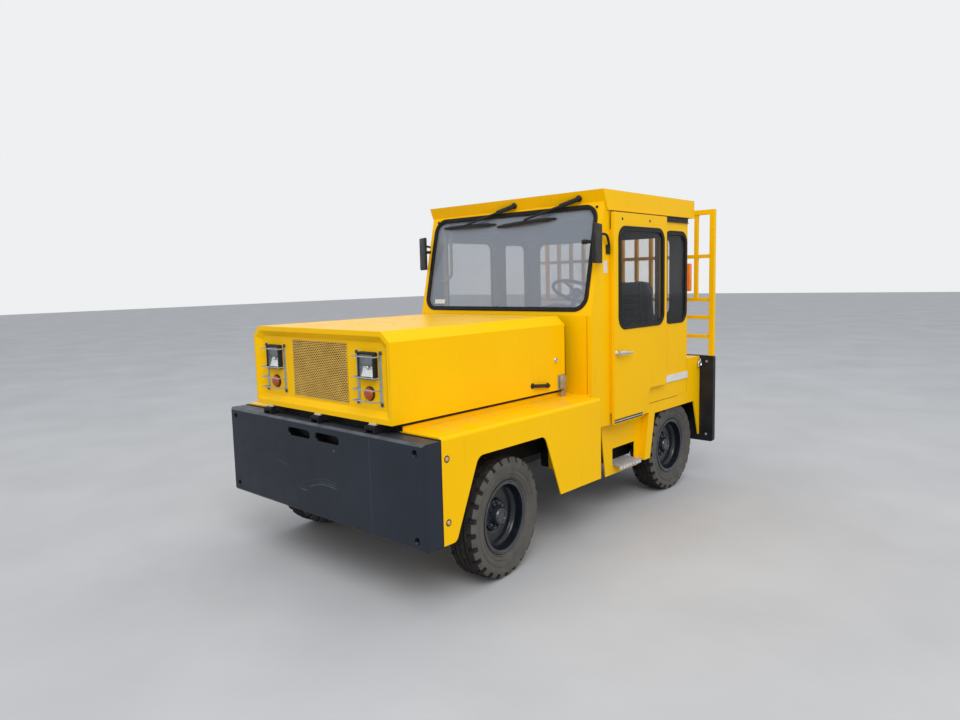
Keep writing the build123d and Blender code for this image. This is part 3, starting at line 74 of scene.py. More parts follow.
# Materials
class Tree:
    """Small helper around a material's node tree."""

    def __init__(self, name, source=None):
        self.mat = source.copy() if source else bpy.data.materials.new(name)
        self.mat.name = name
        self.mat.use_nodes = True
        self.nt = self.mat.node_tree
        self.bsdf = self.nt.nodes["Principled BSDF"]
        self.coord = self.node("ShaderNodeTexCoord").outputs["Object"]

    def node(self, kind, **props):
        n = self.nt.nodes.new(kind)
        for k, v in props.items():
            setattr(n, k, v)
        return n

    def link(self, a, b):
        self.nt.links.new(a, b)

    def feed(self, socket, value):
        if isinstance(value, bpy.types.NodeSocket):
            self.link(value, socket)
        else:
            socket.default_value = value

    def noise(self, scale, detail=3.0, stretch=None):
        n = self.node("ShaderNodeTexNoise")
        vector = self.coord
        if stretch:
            mapping = self.node("ShaderNodeMapping")
            self.link(self.coord, mapping.inputs["Vector"])
            mapping.inputs["Scale"].default_value = stretch
            vector = mapping.outputs["Vector"]
        self.link(vector, n.inputs["Vector"])
        n.inputs["Scale"].default_value = scale
        n.inputs["Detail"].default_value = detail
        n.inputs["Roughness"].default_value = 0.55
        return n.outputs["Fac"]

    def ramp(self, fac, stops):
        r = self.node("ShaderNodeMapRange")
        self.feed(r.inputs["Value"], fac)
        for socket, value in zip(("From Min", "From Max", "To Min", "To Max"), stops):
            r.inputs[socket].default_value = value
        return r.outputs["Result"]

    def vary(self, scale, detail, low=0.0, high=1.0):
        """Soft noise spread over low to high."""
        return self.ramp(self.noise(scale, detail), (0.3, 0.7, low, high))

    def math(self, op, a, b=0.0):
        m = self.node("ShaderNodeMath", operation=op)
        self.feed(m.inputs[0], a)
        self.feed(m.inputs[1], b)
        return m.outputs[0]

    def times(self, a, b):
        return self.math("MULTIPLY", a, b)

    def mix(self, fac, a, b):
        m = self.node("ShaderNodeMix", data_type="RGBA")
        self.feed(m.inputs["Factor"], fac)
        self.feed(m.inputs["A"], (*a, 1.0) if isinstance(a, tuple) else a)
        self.feed(m.inputs["B"], (*b, 1.0) if isinstance(b, tuple) else b)
        return m.outputs["Result"]

    def wave(self, direction, scale):
        w = self.node("ShaderNodeTexWave", bands_direction=direction)
        self.link(self.coord, w.inputs["Vector"])
        w.inputs["Scale"].default_value = scale
        return w

    def position(self):
        s = self.node("ShaderNodeSeparateXYZ")
        self.link(self.coord, s.inputs[0])
        return s.outputs

    def normal_z(self):
        g = self.node("ShaderNodeNewGeometry")
        s = self.node("ShaderNodeSeparateXYZ")
        self.link(g.outputs["Normal"], s.inputs[0])
        return s.outputs["Z"]

    def cover(self, alpha, smear_scale):
        """Glass that covers more where it is seen edge on, with a faint film."""
        weight = self.node("ShaderNodeLayerWeight")
        weight.inputs["Blend"].default_value = 0.5
        edge_on = self.times(self.math("POWER", weight.outputs["Facing"], 4.0), 0.7)
        film = self.ramp(self.noise(smear_scale, 4), (0.3, 0.8, 0.0, 0.04))
        self.feed(self.bsdf.inputs["Alpha"], self.math("ADD", self.math("ADD", edge_on, alpha), film))
        self.mat.surface_render_method = "BLENDED"

    def band(self, value, centre, half, soft):
        """1 where value is within half of centre, falling to 0 over soft."""
        d = self.math("ABSOLUTE", self.math("SUBTRACT", value, centre))
        return self.ramp(d, (half, half + soft, 1.0, 0.0))

    def bump(self, height, distance, strength=1.0, edge=None):
        b = self.node("ShaderNodeBump")
        b.inputs["Distance"].default_value = distance
        b.inputs["Strength"].default_value = strength
        self.link(height, b.inputs["Height"])
        if edge:
            rounded = self.node("ShaderNodeBevel", samples=4)
            rounded.inputs["Radius"].default_value = edge
            self.link(rounded.outputs["Normal"], b.inputs["Normal"])
        self.link(b.outputs["Normal"], self.bsdf.inputs["Normal"])

    def finish(self, colour, rough, metallic=0.0, coat=0.0, specular=0.5):
        self.feed(self.bsdf.inputs["Base Color"], colour)
        self.feed(self.bsdf.inputs["Roughness"], rough)
        self.bsdf.inputs["Metallic"].default_value = metallic
        self.bsdf.inputs["Coat Weight"].default_value = coat
        self.bsdf.inputs["Coat Roughness"].default_value = 0.12
        self.bsdf.inputs["Specular IOR Level"].default_value = specular
        return self.mat


def paint_yellow():
    t = Tree("body_yellow")
    colour = t.mix(t.vary(1.6, 3), (0.95, 0.520, 0.0004), (0.98, 0.555, 0.0008))
    streak = t.ramp(t.noise(4.0, 4, (14.0, 14.0, 0.7)), (0.60, 0.80, 0.0, 0.16))
    colour = t.mix(streak, colour, (0.48, 0.20, 0.012))
    # dust that settles on what faces up
    up = t.ramp(t.normal_z(), (0.75, 0.98, 0.0, 1.0))
    dust = t.times(up, t.ramp(t.noise(2.6, 6, (1.0, 2.2, 1.0)), (0.48, 0.68, 0.02, 0.34)))
    colour = t.mix(dust, colour, (0.66, 0.40, 0.11))
    specks = t.ramp(t.noise(85.0, 2), (0.735, 0.76, 0.0, 0.55))
    colour = t.mix(specks, colour, (0.18, 0.09, 0.02))
    t.bump(t.noise(420.0, 2), 0.0006, 0.12, edge=0.004)
    return t.finish(colour, t.vary(9.0, 3, 0.27, 0.40), coat=0.05, specular=0.06)


BUMPER_SCUFFS = (
    # centre x, centre z, radius, middle x, half length, strength of an arc rubbed into the face
    (0.125, 0.143, 0.441, 0.080, 0.130, 0.42),
    (0.125, 0.143, 0.456, 0.120, 0.085, 0.22),
    (0.125, 0.143, 0.474, 0.090, 0.130, 0.14),
    (-0.110, 0.860, 0.345, -0.135, 0.050, 0.40),
    (-0.420, 0.120, 0.540, -0.350, 0.100, 0.16),
)
BUMPER_HOLES = (
    # x, z and tint of an open and of a filled hole below the slots; the open hole's near-black is painted
    # shade
    (-0.216, 0.811, (0.005, 0.006, 0.008)),
    (0.203, 0.805, (0.10, 0.11, 0.13)),
)
BUMPER_SEAM_X = 0.530
SLOT_Z, SLOT_HALF_HIGH, SLOTS_HALF_WIDE = 0.860, 0.040, 0.300


def paint_bumper():
    t = Tree("bumper_grey")
    pos = t.position()
    colour = t.mix(t.vary(3.0, 4), (0.015, 0.019, 0.029), (0.020, 0.025, 0.037))
    front = t.math("LESS_THAN", pos["Y"], FRONT + 0.004)

    def reach(x, z):
        dx = t.math("POWER", t.math("SUBTRACT", pos["X"], x), 2.0)
        dz = t.math("POWER", t.math("SUBTRACT", pos["Z"], z), 2.0)
        return t.math("SQRT", t.math("ADD", dx, dz))

    # thin arcs rubbed into the face, broken up by a fine grain
    patch = t.ramp(t.noise(24.0, 3), (0.36, 0.56, 0.15, 1.0))
    for x, z, radius, middle, half, strength in BUMPER_SCUFFS:
        arc = t.band(reach(x, z), radius, 0.0012, 0.0030)
        part = t.times(t.band(pos["X"], middle, half * 0.8, half * 0.4), front)
        scuff = t.times(t.times(arc, part), t.times(patch, strength))
        colour = t.mix(scuff, colour, (0.20, 0.22, 0.25))
    fine = t.ramp(t.noise(30.0, 5, (0.25, 1.0, 2.4)), (0.70, 0.76, 0.0, 0.30))
    colour = t.mix(fine, colour, (0.060, 0.068, 0.085))
    # weld seam down the face
    seam = t.times(t.band(pos["X"], BUMPER_SEAM_X, 0.0016, 0.0012), front)
    colour = t.mix(t.times(seam, 0.5), colour, (0.065, 0.075, 0.095))
    # holes painted on the face: painted shade for the open one, a lighter grey for the filled one
    for x, z, tint in BUMPER_HOLES:
        near = t.ramp(reach(x, z), (0.006, 0.008, 1.0, 0.0))
        colour = t.mix(t.times(near, front), colour, tint)
    # painted highlight on the chamfers, broken up by noise; dust on what faces up
    chamfer_highlight = t.times(t.band(t.normal_z(), 0.707, 0.10, 0.08), t.ramp(t.noise(9.0, 4), (0.3, 0.6, 0.35, 0.9)))
    colour = t.mix(chamfer_highlight, colour, (0.105, 0.115, 0.135))
    up = t.ramp(t.normal_z(), (0.85, 0.98, 0.0, 0.50))
    colour = t.mix(t.times(up, t.vary(7.0, 5, 0.3, 1.0)), colour, (0.090, 0.095, 0.105))
    # the slots' inner walls see little light
    deep = t.math("GREATER_THAN", pos["Y"], FRONT + 0.010)
    height = t.band(pos["Z"], SLOT_Z, SLOT_HALF_HIGH, 0.004)
    slots = t.times(height, t.band(pos["X"], 0.0, SLOTS_HALF_WIDE, 0.010))
    colour = t.mix(t.times(deep, slots), colour, (0.0030, 0.0035, 0.0045))
    t.bump(t.noise(260.0, 3), 0.0009, 0.22, edge=0.006)
    return t.finish(colour, t.vary(12.0, 3, 0.38, 0.52), specular=0.22)


def paint_plain(
    name, low, high, rough, metallic=0.0, coat=0.0, scale=8.0, grain=300.0, depth=0.0006, edge=0.002,
    specular=0.5
):
    t = Tree(name)
    colour = t.mix(t.vary(scale, 4), low, high)
    t.bump(t.noise(grain, 2), depth, 0.25, edge=edge)
    rough = t.vary(scale * 2.3, 3, rough * 0.85, rough * 1.15)
    return t.finish(colour, rough, metallic=metallic, coat=coat, specular=specular)


def rubber_tyre(name, low, high, dusty):
    t = Tree(name)
    dust = t.ramp(t.noise(45.0, 5), (0.52, 0.72, 0.0, dusty))
    colour = t.mix(dust, t.mix(t.vary(11.0, 5), low, high), (0.12, 0.105, 0.090))
    t.bump(t.noise(160.0, 4), 0.0016, 0.45)
    return t.finish(colour, t.vary(20.0, 3, 0.74, 0.92), specular=0.22)


def glass_pane(name, tint, alpha):
    t = Tree(name)
    t.cover(alpha, 7.0)
    colour = t.mix(t.vary(2.0, 3), tint, tuple(c * 1.12 for c in tint))
    return t.finish(colour, t.vary(30.0, 2, 0.02, 0.06), coat=0.6)


def lens(name, colour, alpha, rough=0.08):
    """Moulded lens with upright flutes."""
    t = Tree(name)
    c = t.mix(t.vary(40.0, 2), colour, tuple(min(1.0, v * 1.18) for v in colour))
    t.bump(t.wave("X", 30.0).outputs["Fac"], 0.002, 0.5)
    t.bsdf.inputs["Alpha"].default_value = alpha
    return t.finish(c, t.vary(60.0, 2, rough, rough * 1.6), coat=0.35)


def seat_fabric():
    t = Tree("seat_cloth")
    warp, weft = t.wave("X", 130.0), t.wave("Z", 130.0)
    for w in (warp, weft):
        w.inputs["Distortion"].default_value = 0.6
    weave = t.times(warp.outputs["Fac"], weft.outputs["Fac"])
    base = t.mix(t.vary(9.0, 4), (0.016, 0.016, 0.018), (0.030, 0.030, 0.033))
    colour = t.mix(t.ramp(weave, (0.1, 0.8, 0.0, 0.5)), base, (0.065, 0.065, 0.07))
    t.bump(weave, 0.0012, 0.55)
    t.bsdf.inputs["Sheen Weight"].default_value = 0.35
    t.bsdf.inputs["Sheen Roughness"].default_value = 0.5
    return t.finish(colour, t.vary(50.0, 2, 0.82, 0.95), specular=0.3)


def tread_plate(name, low, high, dirty):
    t = Tree(name)
    dirt = t.ramp(t.noise(60.0, 4), (0.50, 0.70, 0.0, dirty))
    colour = t.mix(dirt, t.mix(t.vary(16.0, 4), low, high), (0.22, 0.20, 0.17))
    t.bump(t.noise(300.0, 2), 0.0006, 0.3)
    return t.finish(colour, t.vary(25.0, 3, 0.32, 0.55), metallic=0.45)


def asphalt_pale():
    t = Tree("floor_pale")
    colour = t.mix(t.vary(0.8, 4), (0.45, 0.45, 0.46), (0.51, 0.51, 0.52))
    t.bump(t.noise(120.0, 3), 0.0008, 0.2)
    return t.finish(colour, t.vary(3.0, 3, 0.75, 0.9), specular=0.2)


DARK = 0.22            # specular level of dull black parts
YELLOW = paint_yellow()
BUMPER = paint_bumper()
BLACK = paint_plain("chassis_black", (0.006, 0.006, 0.007), (0.013, 0.013, 0.014), 0.6, specular=DARK)
PLATE_BLACK = paint_plain(
    "rear_plate_black", (0.010, 0.011, 0.014), (0.018, 0.020, 0.025), 0.45, edge=0.004, specular=DARK
)
RIM = paint_plain("rim_grey", (0.012, 0.017, 0.024), (0.022, 0.028, 0.038), 0.22, coat=0.5, scale=14.0)
# darker, less glossy copy of the rim paint: painted shade for the dish and its well
RIM_IN_SHADOW = paint_plain(
    "rim_in_shadow", (0.004, 0.006, 0.009), (0.009, 0.012, 0.017), 0.24, coat=0.25, scale=14.0, specular=0.3
)
SIDEWALL = rubber_tyre("tyre_sidewall", (0.078, 0.073, 0.066), (0.116, 0.108, 0.098), 0.45)
CROWN = rubber_tyre("tyre_crown", (0.014, 0.0125, 0.012), (0.026, 0.023, 0.021), 0.22)
RUBBER = paint_plain(
    "gasket_rubber", (0.006, 0.006, 0.007), (0.014, 0.0135, 0.0135), 0.5, scale=18.0, grain=200.0,
    specular=DARK
)
PLASTIC = paint_plain(
    "black_plastic", (0.008, 0.008, 0.009), (0.016, 0.016, 0.018), 0.5, grain=700.0, depth=0.0008,
    specular=0.3
)
DASH = paint_plain(
    "dash_plastic", (0.028, 0.032, 0.040), (0.042, 0.048, 0.058), 0.55, grain=700.0, depth=0.0008
)
CAST = paint_plain(
    "cast_iron", (0.030, 0.030, 0.032), (0.060, 0.058, 0.056), 0.62, grain=120.0, depth=0.0016
)
ZINC = paint_plain("zinc_steel", (0.30, 0.34, 0.33), (0.44, 0.48, 0.46), 0.38, metallic=0.35, scale=22.0)
CHROME = paint_plain("chrome", (0.62, 0.62, 0.61), (0.78, 0.78, 0.77), 0.16, metallic=1.0, scale=25.0)
LATCH_STEEL = paint_plain(
    "latch_steel", (0.30, 0.30, 0.28), (0.45, 0.45, 0.42), 0.35, metallic=0.6, scale=30.0
)
RUSTY = paint_plain(
    "washer_rusty", (0.070, 0.030, 0.012), (0.150, 0.070, 0.030), 0.6, metallic=0.3, scale=60.0
)
BRASS = paint_plain("bolt_brass", (0.50, 0.34, 0.18), (0.72, 0.56, 0.36), 0.3, metallic=0.6, scale=60.0)
OCHRE = paint_plain("grille_ochre", (0.56, 0.330, 0.050), (0.74, 0.450, 0.075), 0.5, scale=12.0, edge=0.0005)
WHITE = paint_plain("white_strip", (0.64, 0.64, 0.62), (0.73, 0.73, 0.71), 0.4, scale=14.0)
ALUM = paint_plain("aluminium", (0.50, 0.51, 0.52), (0.68, 0.69, 0.70), 0.32, metallic=0.8, scale=30.0)
AMBER = lens("amber_lens", (0.40, 0.060, 0.003), 1.0)
ORANGE = lens("orange_lens", (0.82, 0.18, 0.008), 1.0)
RED = lens("red_lens", (0.50, 0.018, 0.012), 1.0)
CLEAR = lens("lamp_lens", (0.66, 0.70, 0.74), 0.16)
REFLECTOR = paint_plain(
    "lamp_reflector", (0.78, 0.79, 0.80), (0.90, 0.91, 0.92), 0.14, metallic=1.0, scale=40.0
)
MIRROR = paint_plain("mirror_glass", (0.70, 0.73, 0.75), (0.78, 0.80, 0.82), 0.05, metallic=1.0, scale=10.0)
# the side tint is the panes' own dark tint; the front tint is a bluish painted sky reflection on the
# windshield
SIDE_TINT, SKY_REFLECTION_TINT = (0.045, 0.050, 0.056), (0.31, 0.36, 0.45)
SIDE_GLASS = glass_pane("side_glass", SIDE_TINT, 0.09)
# grey for the bowl's upper half: a painted dark reflection
DARK_REFLECTION = paint_plain("lamp_dark_reflection", (0.10, 0.105, 0.11), (0.17, 0.175, 0.18), 0.35, metallic=0.3, scale=30.0)
CLOTH = seat_fabric()
GRAB = paint_plain("grab_yellow", (0.95, 0.64, 0.12), (0.98, 0.70, 0.18), 0.4, scale=10.0)
TREAD = tread_plate("tread_alu", (0.42, 0.41, 0.40), (0.58, 0.57, 0.55), 0.6)
BOSS = tread_plate("tread_boss", (0.70, 0.69, 0.67), (0.85, 0.84, 0.82), 0.2)
HEADLINER = paint_plain("headliner", (0.20, 0.20, 0.20), (0.26, 0.26, 0.26), 0.9, scale=14.0, grain=500.0)


def track_material():
    """Black upper channel, white lower strip, told apart by height."""
    t = Tree("door_tracks")
    low = t.math("LESS_THAN", t.position()["Z"], 1.5)
    tone = t.vary(14.0, 4)
    black = t.mix(tone, (0.006, 0.006, 0.007), (0.012, 0.012, 0.013))
    white = t.mix(tone, (0.66, 0.66, 0.64), (0.75, 0.75, 0.73))
    t.bump(t.noise(300.0, 2), 0.0005, 0.2, edge=0.002)
    return t.finish(t.mix(low, black, white), t.vary(20.0, 2, 0.36, 0.5), specular=DARK)


def glass_by_place():
    """The windshield carries a thicker bluish veil, painted sky reflection, than the quarter and rear panes.
    """
    t = Tree("cab_glass")
    side_haze, front_sky_reflection, behind_windshield = 0.08, 0.37, 0.4
    front = t.math("LESS_THAN", t.position()["Y"], behind_windshield)
    # the windshield's extra cover, in the bluish tint, is painted sky reflection
    t.cover(t.math("ADD", t.times(front, front_sky_reflection), side_haze), 5.0)
    return t.finish(t.mix(front, SIDE_TINT, SKY_REFLECTION_TINT), t.vary(30.0, 2, 0.02, 0.06), coat=0.6)


def painted_copy(name, zones):
    """Body paint that takes a zone's tint where all its half-spaces (direction, least distance) hold."""
    t = Tree(name, YELLOW)
    paint = t.bsdf.inputs["Base Color"]
    colour = paint.links[0].from_socket
    for tint, half_spaces in zones:
        inside = 1.0
        for direction, least in half_spaces:
            along = t.node("ShaderNodeVectorMath", operation="DOT_PRODUCT")
            t.link(t.coord, along.inputs[0])
            along.inputs[1].default_value = direction
            inside = t.times(t.math("GREATER_THAN", along.outputs["Value"], least), inside)
        colour = t.mix(inside, colour, tint)
    t.link(colour, paint)
    return t.mat


LINING = (0.060, 0.062, 0.064)
HINGE_ZINC = (0.38, 0.41, 0.40)
# near-black for the hinge barrels: painted shade under the hood's lip
HINGE_SHADOW = (0.010, 0.010, 0.011)
HOOD_FOOT, LEAF_FOOT = 0.9995, 0.991    # heights where the hood's shell and its hinge leaves end
CAB_FLOOR, REAR_WALL_Y, FRONT_WALL = 0.79, 3.150, 0.022


def between_sides(x):
    return [((-1, 0, 0), -x), ((1, 0, 0), -x)]


def hood_material():
    """Hinge leaves just below the shell in zinc; the barrels under them near-black, painted shade under the
    hood's lip.
    """
    zones = ((HINGE_ZINC, [((0, 0, -1), -HOOD_FOOT)]), (HINGE_SHADOW, [((0, 0, -1), -LEAF_FOOT)]))
    return painted_copy("hood_yellow", zones)


def cab_material():
    """Yellow outside, dark lining on what faces the driver."""
    behind = FRONT + SILL_Y + FRONT_WALL
    inner = between_sides(CAB_SIDE - 0.002) + [
        (ALONG, behind), ((0, 1, -SLOPE), behind - SILL_Z * SLOPE),
        ((0, -1, 0), -(FRONT + REAR_WALL_Y)), (UP, CAB_FLOOR),
    ]
    return painted_copy("cab_yellow", ((LINING, inner),))


def door_material():
    return painted_copy("door_yellow", ((LINING, between_sides(DOOR_FACE - 0.0235)),))


SLOT_MATERIALS = {
    "body_yellow": YELLOW, "bumper_grey": BUMPER, "chassis_black": BLACK, "rim_grey": RIM, "tyre": SIDEWALL,
    "glass": SIDE_GLASS, "steel": ZINC, "tread_alu": TREAD, "grille_ochre": OCHRE, "lamp_glass": CLEAR,
    "amber": AMBER, "black_plastic": PLASTIC, "seat_cloth": CLOTH, "cast": CAST,
}
for row in frame["record"]["subparts"]:
    node = nodes[row["node"]]
    node.data.materials.clear()
    node.data.materials.append(SLOT_MATERIALS[row["material_slot"]])
OWN_MATERIALS = {
    "cab_glass": glass_by_place(), "door_tracks": track_material(), "rear_bumper": PLATE_BLACK,
    "dashboard": DASH, "hood": hood_material(), "tie_rod": ZINC,
}
CAB_WALLS = ("cab_side_left", "cab_side_right", "cab_rear", "cab_front")
OWN_MATERIALS.update(dict.fromkeys(CAB_WALLS, cab_material()))
OWN_MATERIALS.update(dict.fromkeys(("door_left", "door_right"), door_material()))
for name, material in OWN_MATERIALS.items():
    nodes[name].data.materials[0] = material


# Mesh helpers
def add_piece(name, bm, material, body="chassis", smooth=35):
    """Object made from bm, riding on a body, with a material slot; smooth is the sharp angle."""
    bmesh.ops.recalc_face_normals(bm, faces=bm.faces)
    mesh = bpy.data.meshes.new(name)
    bm.to_mesh(mesh)
    bm.free()
    for m in material if isinstance(material, (list, tuple)) else [material]:
        mesh.materials.append(m)
    if smooth:
        mesh.shade_smooth()
        mesh.set_sharp_from_angle(angle=math.radians(smooth))
    o = bpy.data.objects.new(name, mesh)
    bpy.context.scene.collection.objects.link(o)
    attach(o, body)
    return o


def basis(origin, x, y):
    """4x4 frame with local x and y along the given directions."""
    x = Vector(x).normalized()
    z = x.cross(Vector(y)).normalized()
    y = z.cross(x)
    m = Matrix((x, y, z)).transposed().to_4x4()
    m.translation = Vector(origin)
    return m


def add_box(bm, centre, size, bevel=0.0, segments=2, turn=None, mat=0):
    """Box with rounded edges, added to bm."""
    made = bmesh.ops.create_cube(bm, size=1.0)["verts"]
    for v in made:
        v.co = Vector((v.co.x * size[0], v.co.y * size[1], v.co.z * size[2]))
    if bevel:
        edges = list(set(e for v in made for e in v.link_edges))
        res = bmesh.ops.bevel(bm, geom=edges, offset=bevel, segments=segments, profile=0.5, affect="EDGES")
        made = list(set(v for f in res["faces"] for v in f.verts))
    for f in set(f for v in made for f in v.link_faces):
        f.material_index = mat
    place = Matrix.Translation(Vector(centre)) @ (turn.to_4x4() if turn else Matrix.Identity(4))
    bmesh.ops.transform(bm, matrix=place, verts=made)


def add_quad(bm, corners, mat=0):
    f = bm.faces.new(corners)
    f.material_index = mat


def join_rows(bm, rows, closed=False, mat=0):
    """Quads between each row of vertices and the next."""
    for a, b in zip(rows, rows[1:]):
        for i in range(len(a) if closed else len(a) - 1):
            j = (i + 1) % len(a)
            add_quad(bm, (a[i], b[i], b[j], a[j]), mat)


def add_lathe(bm, place, profile, segments=32, mat=0, cap_mat=None):
    """Turns (axial, radius) pairs about the local z of place; cap_mat closes the last ring."""
    rings = []
    for k in range(segments):
        a = 2 * math.pi * k / segments
        ring = [place @ Vector((r * math.cos(a), r * math.sin(a), h)) for h, r in profile]
        rings.append([bm.verts.new(p) for p in ring])
    join_rows(bm, rings + rings[:1], mat=mat)
    if cap_mat is not None:
        add_quad(bm, [ring[-1] for ring in rings], cap_mat)


def add_tube(bm, points, radius, segments=12, flat=1.0, flat_dir=None):
    """Round bar along a list of points, or one flattened along flat_dir."""
    pts = [Vector(p) for p in points]
    last = len(pts) - 1
    rings = []
    side = None
    for i, p in enumerate(pts):
        d = (pts[min(i + 1, last)] - pts[max(i - 1, 0)]).normalized()
        before = Vector(flat_dir) if flat_dir else side
        side = d.orthogonal() if before is None else before - d * before.dot(d)
        side.normalize()
        other = d.cross(side)
        turns = [2 * math.pi * (k + 0.5) / segments for k in range(segments)]
        ring = [p + side * (math.cos(a) * radius * flat) + other * (math.sin(a) * radius) for a in turns]
        rings.append([bm.verts.new(q) for q in ring])
    join_rows(bm, rings, closed=True)
    for ring in (rings[0], rings[-1]):
        bm.faces.new(ring)


def arc_points(corners, radius, steps=6):
    """Open polyline with its inner corners rounded."""
    pts = [Vector(c) for c in corners]
    out = [pts[0]]
    for a, b, c in zip(pts, pts[1:], pts[2:]):
        u, v = (a - b).normalized(), (c - b).normalized()
        r = min(radius, (a - b).length * 0.48, (c - b).length * 0.48)
        for k in range(steps + 1):
            s = k / steps
            out.append((b + u * r) * (1 - s) ** 2 + b * 2 * s * (1 - s) + (b + v * r) * s ** 2)
    out.append(pts[-1])
    return out


def rounded_rect(half_w, half_h, radius, steps=8):
    """Closed list of 2-D points, anticlockwise."""
    out = []
    for cx, cy, start in ((1, 1, 0), (-1, 1, 90), (-1, -1, 180), (1, -1, 270)):
        for k in range(steps + 1):
            a = math.radians(start + 90 * k / steps)
            x = cx * (half_w - radius) + radius * math.cos(a)
            out.append((x, cy * (half_h - radius) + radius * math.sin(a)))
    return out


def add_ring(bm, place, half_w, half_h, radius, section, steps=8):
    """Sweeps a section of (outward offset, height) pairs round a rounded rectangle in place's plane."""
    outline = [Vector(p) for p in rounded_rect(half_w, half_h, radius, steps)]
    rows = []
    for before, q, after in zip(outline[-1:] + outline, outline, outline[1:] + outline[:1]):
        d = (after - before).normalized()
        line = [Vector((q.x + d.y * off, q.y - d.x * off, h)) for off, h in section]
        rows.append([bm.verts.new(place @ p) for p in line])
    join_rows(bm, rows + rows[:1], closed=True)


def hex_bolt(bm, at, out, radius, height, mat=0, round_head=False, washer=True):
    """Bolt head with a washer, standing on a face whose normal is out."""
    out = Vector(out).normalized()
    side = out.orthogonal()
    place = basis(at, side, out.cross(side))
    shares = ((0.2, 1.0), (0.86, 1.0), (1.0, 0.86))
    if round_head:
        shares = ((0.2, 1.0), (0.55, 0.93), (0.82, 0.7), (1.0, 0.32))
    if washer:
        rings = ((0, 1.45), (0.22, 1.40), (0.24, 0.9))
        add_lathe(bm, place, [(height * h, radius * r) for h, r in rings], 20, mat, cap_mat=mat)
    head = [(height * h, radius * r) for h, r in shares]
    add_lathe(bm, place, head, 18 if round_head else 6, mat, cap_mat=mat)


# Wheels
STEER = math.radians(7)
AXLE_Z = 0.365
FRONT_AXLE_Y, REAR_AXLE_Y = FRONT + 0.681, FRONT + 2.95
KINGPIN_X, KNUCKLE_REACH, REAR_HUB_X = 0.655, 0.07, 0.629
TYRE_WIDTH, CROWN_RADIUS, RIB_DEPTH = 0.200, 0.3648, 0.009
LUGS, LUG_STEPS, NOTCH_SHARE = 26, 12, 0.30
CUT, PULL = 0.018, 0.012      # depth of a shoulder notch from the crown and from the side
TYRE_PROFILE = (
    # (axial from the outer face, radius) from bead to shoulder, with moulded rings
    (0.0290, 0.2045), (0.0288, 0.2210), (0.0215, 0.2270), (0.0165, 0.2320), (0.0195, 0.2345),
    (0.0195, 0.2370), (0.0140, 0.2395), (0.0115, 0.2460), (0.0095, 0.2530), (0.0125, 0.2550),
    (0.0122, 0.2575), (0.0080, 0.2600), (0.0062, 0.2700), (0.0046, 0.2790), (0.0052, 0.2840),
    (0.0010, 0.2862), (0.0008, 0.2905), (0.0046, 0.2930), (0.0030, 0.3000), (0.0002, 0.3110),
)
RIM_BACK = (
    (0.020, 0.2210), (0.0175, 0.2190), (0.0175, 0.1940), (0.030, 0.1920), (0.050, 0.1760),
    (0.084, 0.1730), (0.094, 0.1730), (0.098, 0.1560), (0.098, 0.1120), (0.090, 0.0980),
    (0.082, 0.0900), (0.082, 0.0620),
)
RIM_EDGE = (
    (0.1800, 0.2205), (0.1825, 0.2195), (0.1828, 0.2130), (0.1795, 0.2100), (0.1770, 0.2070),
    (0.1775, 0.2030), (0.1760, 0.1975),
)
RIM_DISH = (
    (0.1760, 0.1975), (0.1650, 0.1945), (0.1500, 0.1930), (0.1350, 0.1915), (0.1240, 0.1890),
    (0.1180, 0.1830), (0.1120, 0.1770), (0.1080, 0.1740), (0.1060, 0.1600), (0.1060, 0.1120),
    (0.1000, 0.0990), (0.0930, 0.0905), (0.0930, 0.0600),
)


def wheel_frame(side, y, steered):
    """Frame at the tyre's inner face with local z along the axle to the outside."""
    out = Vector((side, 0, 0))
    at = Vector((side * REAR_HUB_X, y, AXLE_Z))
    if steered:
        out = Vector((side * math.cos(STEER), side * math.sin(STEER), 0))
        at = Vector((side * KINGPIN_X, y, AXLE_Z)) + out * KNUCKLE_REACH
    return basis(at, UP, out.cross(Vector(UP))), out


def shoulder(phase):
    """(axial, radius) pairs over the tyre's shoulder, cut back where a notch passes."""
    ease = 0.0
    if phase < NOTCH_SHARE:
        ease = 1.0 if 0.04 < phase < NOTCH_SHARE - 0.04 else 0.55
    cut, pull = CUT * ease, PULL * ease
    return [
        (0.0005, 0.330), (0.004 + pull, 0.346 - cut * 0.4), (0.014 + pull, 0.3600 - cut),
        (0.030, CROWN_RADIUS - 0.001 - cut), (0.046, CROWN_RADIUS - cut * 0.9),
        (0.0465, CROWN_RADIUS - cut * 0.1),
    ]


def add_tyre(bm, place):
    """Tyre with a ribbed crown, open shoulder lugs and moulded sidewall rings."""
    groove_foot, slant = CROWN_RADIUS - RIB_DEPTH, 0.0005
    steps = LUGS * LUG_STEPS
    rows = []
    for k in range(steps):
        phase = (k % LUG_STEPS) / LUG_STEPS
        a = 2 * math.pi * k / steps
        line = list(TYRE_PROFILE) + shoulder(phase)
        zig = 0.004 * (1 if (k // 6) % 2 else -1)
        for near, far, shift in ((0.060, 0.0685, 0.0), (0.096, 0.104, zig), (0.1315, 0.140, 0.0)):
            foot = (near + slant, groove_foot), (far - slant, groove_foot)
            line += [(h + shift, r) for h, r in ((near, CROWN_RADIUS), *foot, (far, CROWN_RADIUS))]
        line += [(TYRE_WIDTH - h, r) for h, r in reversed(shoulder((phase + 0.5) % 1.0))]
        line += [(TYRE_WIDTH - h, r) for h, r in reversed(TYRE_PROFILE)]
        rows.append([bm.verts.new(place @ Vector((r * math.cos(a), r * math.sin(a), h))) for h, r in line])
    n = len(rows[0])
    wall = len(TYRE_PROFILE)
    for k in range(steps):
        a, b = rows[k], rows[(k + 1) % steps]
        phase = (k % LUG_STEPS) / LUG_STEPS
        for i in range(n):
            j = (i + 1) % n
            near = min(i, n - 1 - i)
            notched = (phase if i < n / 2 else (phase + 0.5) % 1.0) < NOTCH_SHARE
            add_quad(bm, (a[i], b[i], b[j], a[j]), 1 if near > wall + 2 or (notched and near > wall) else 0)


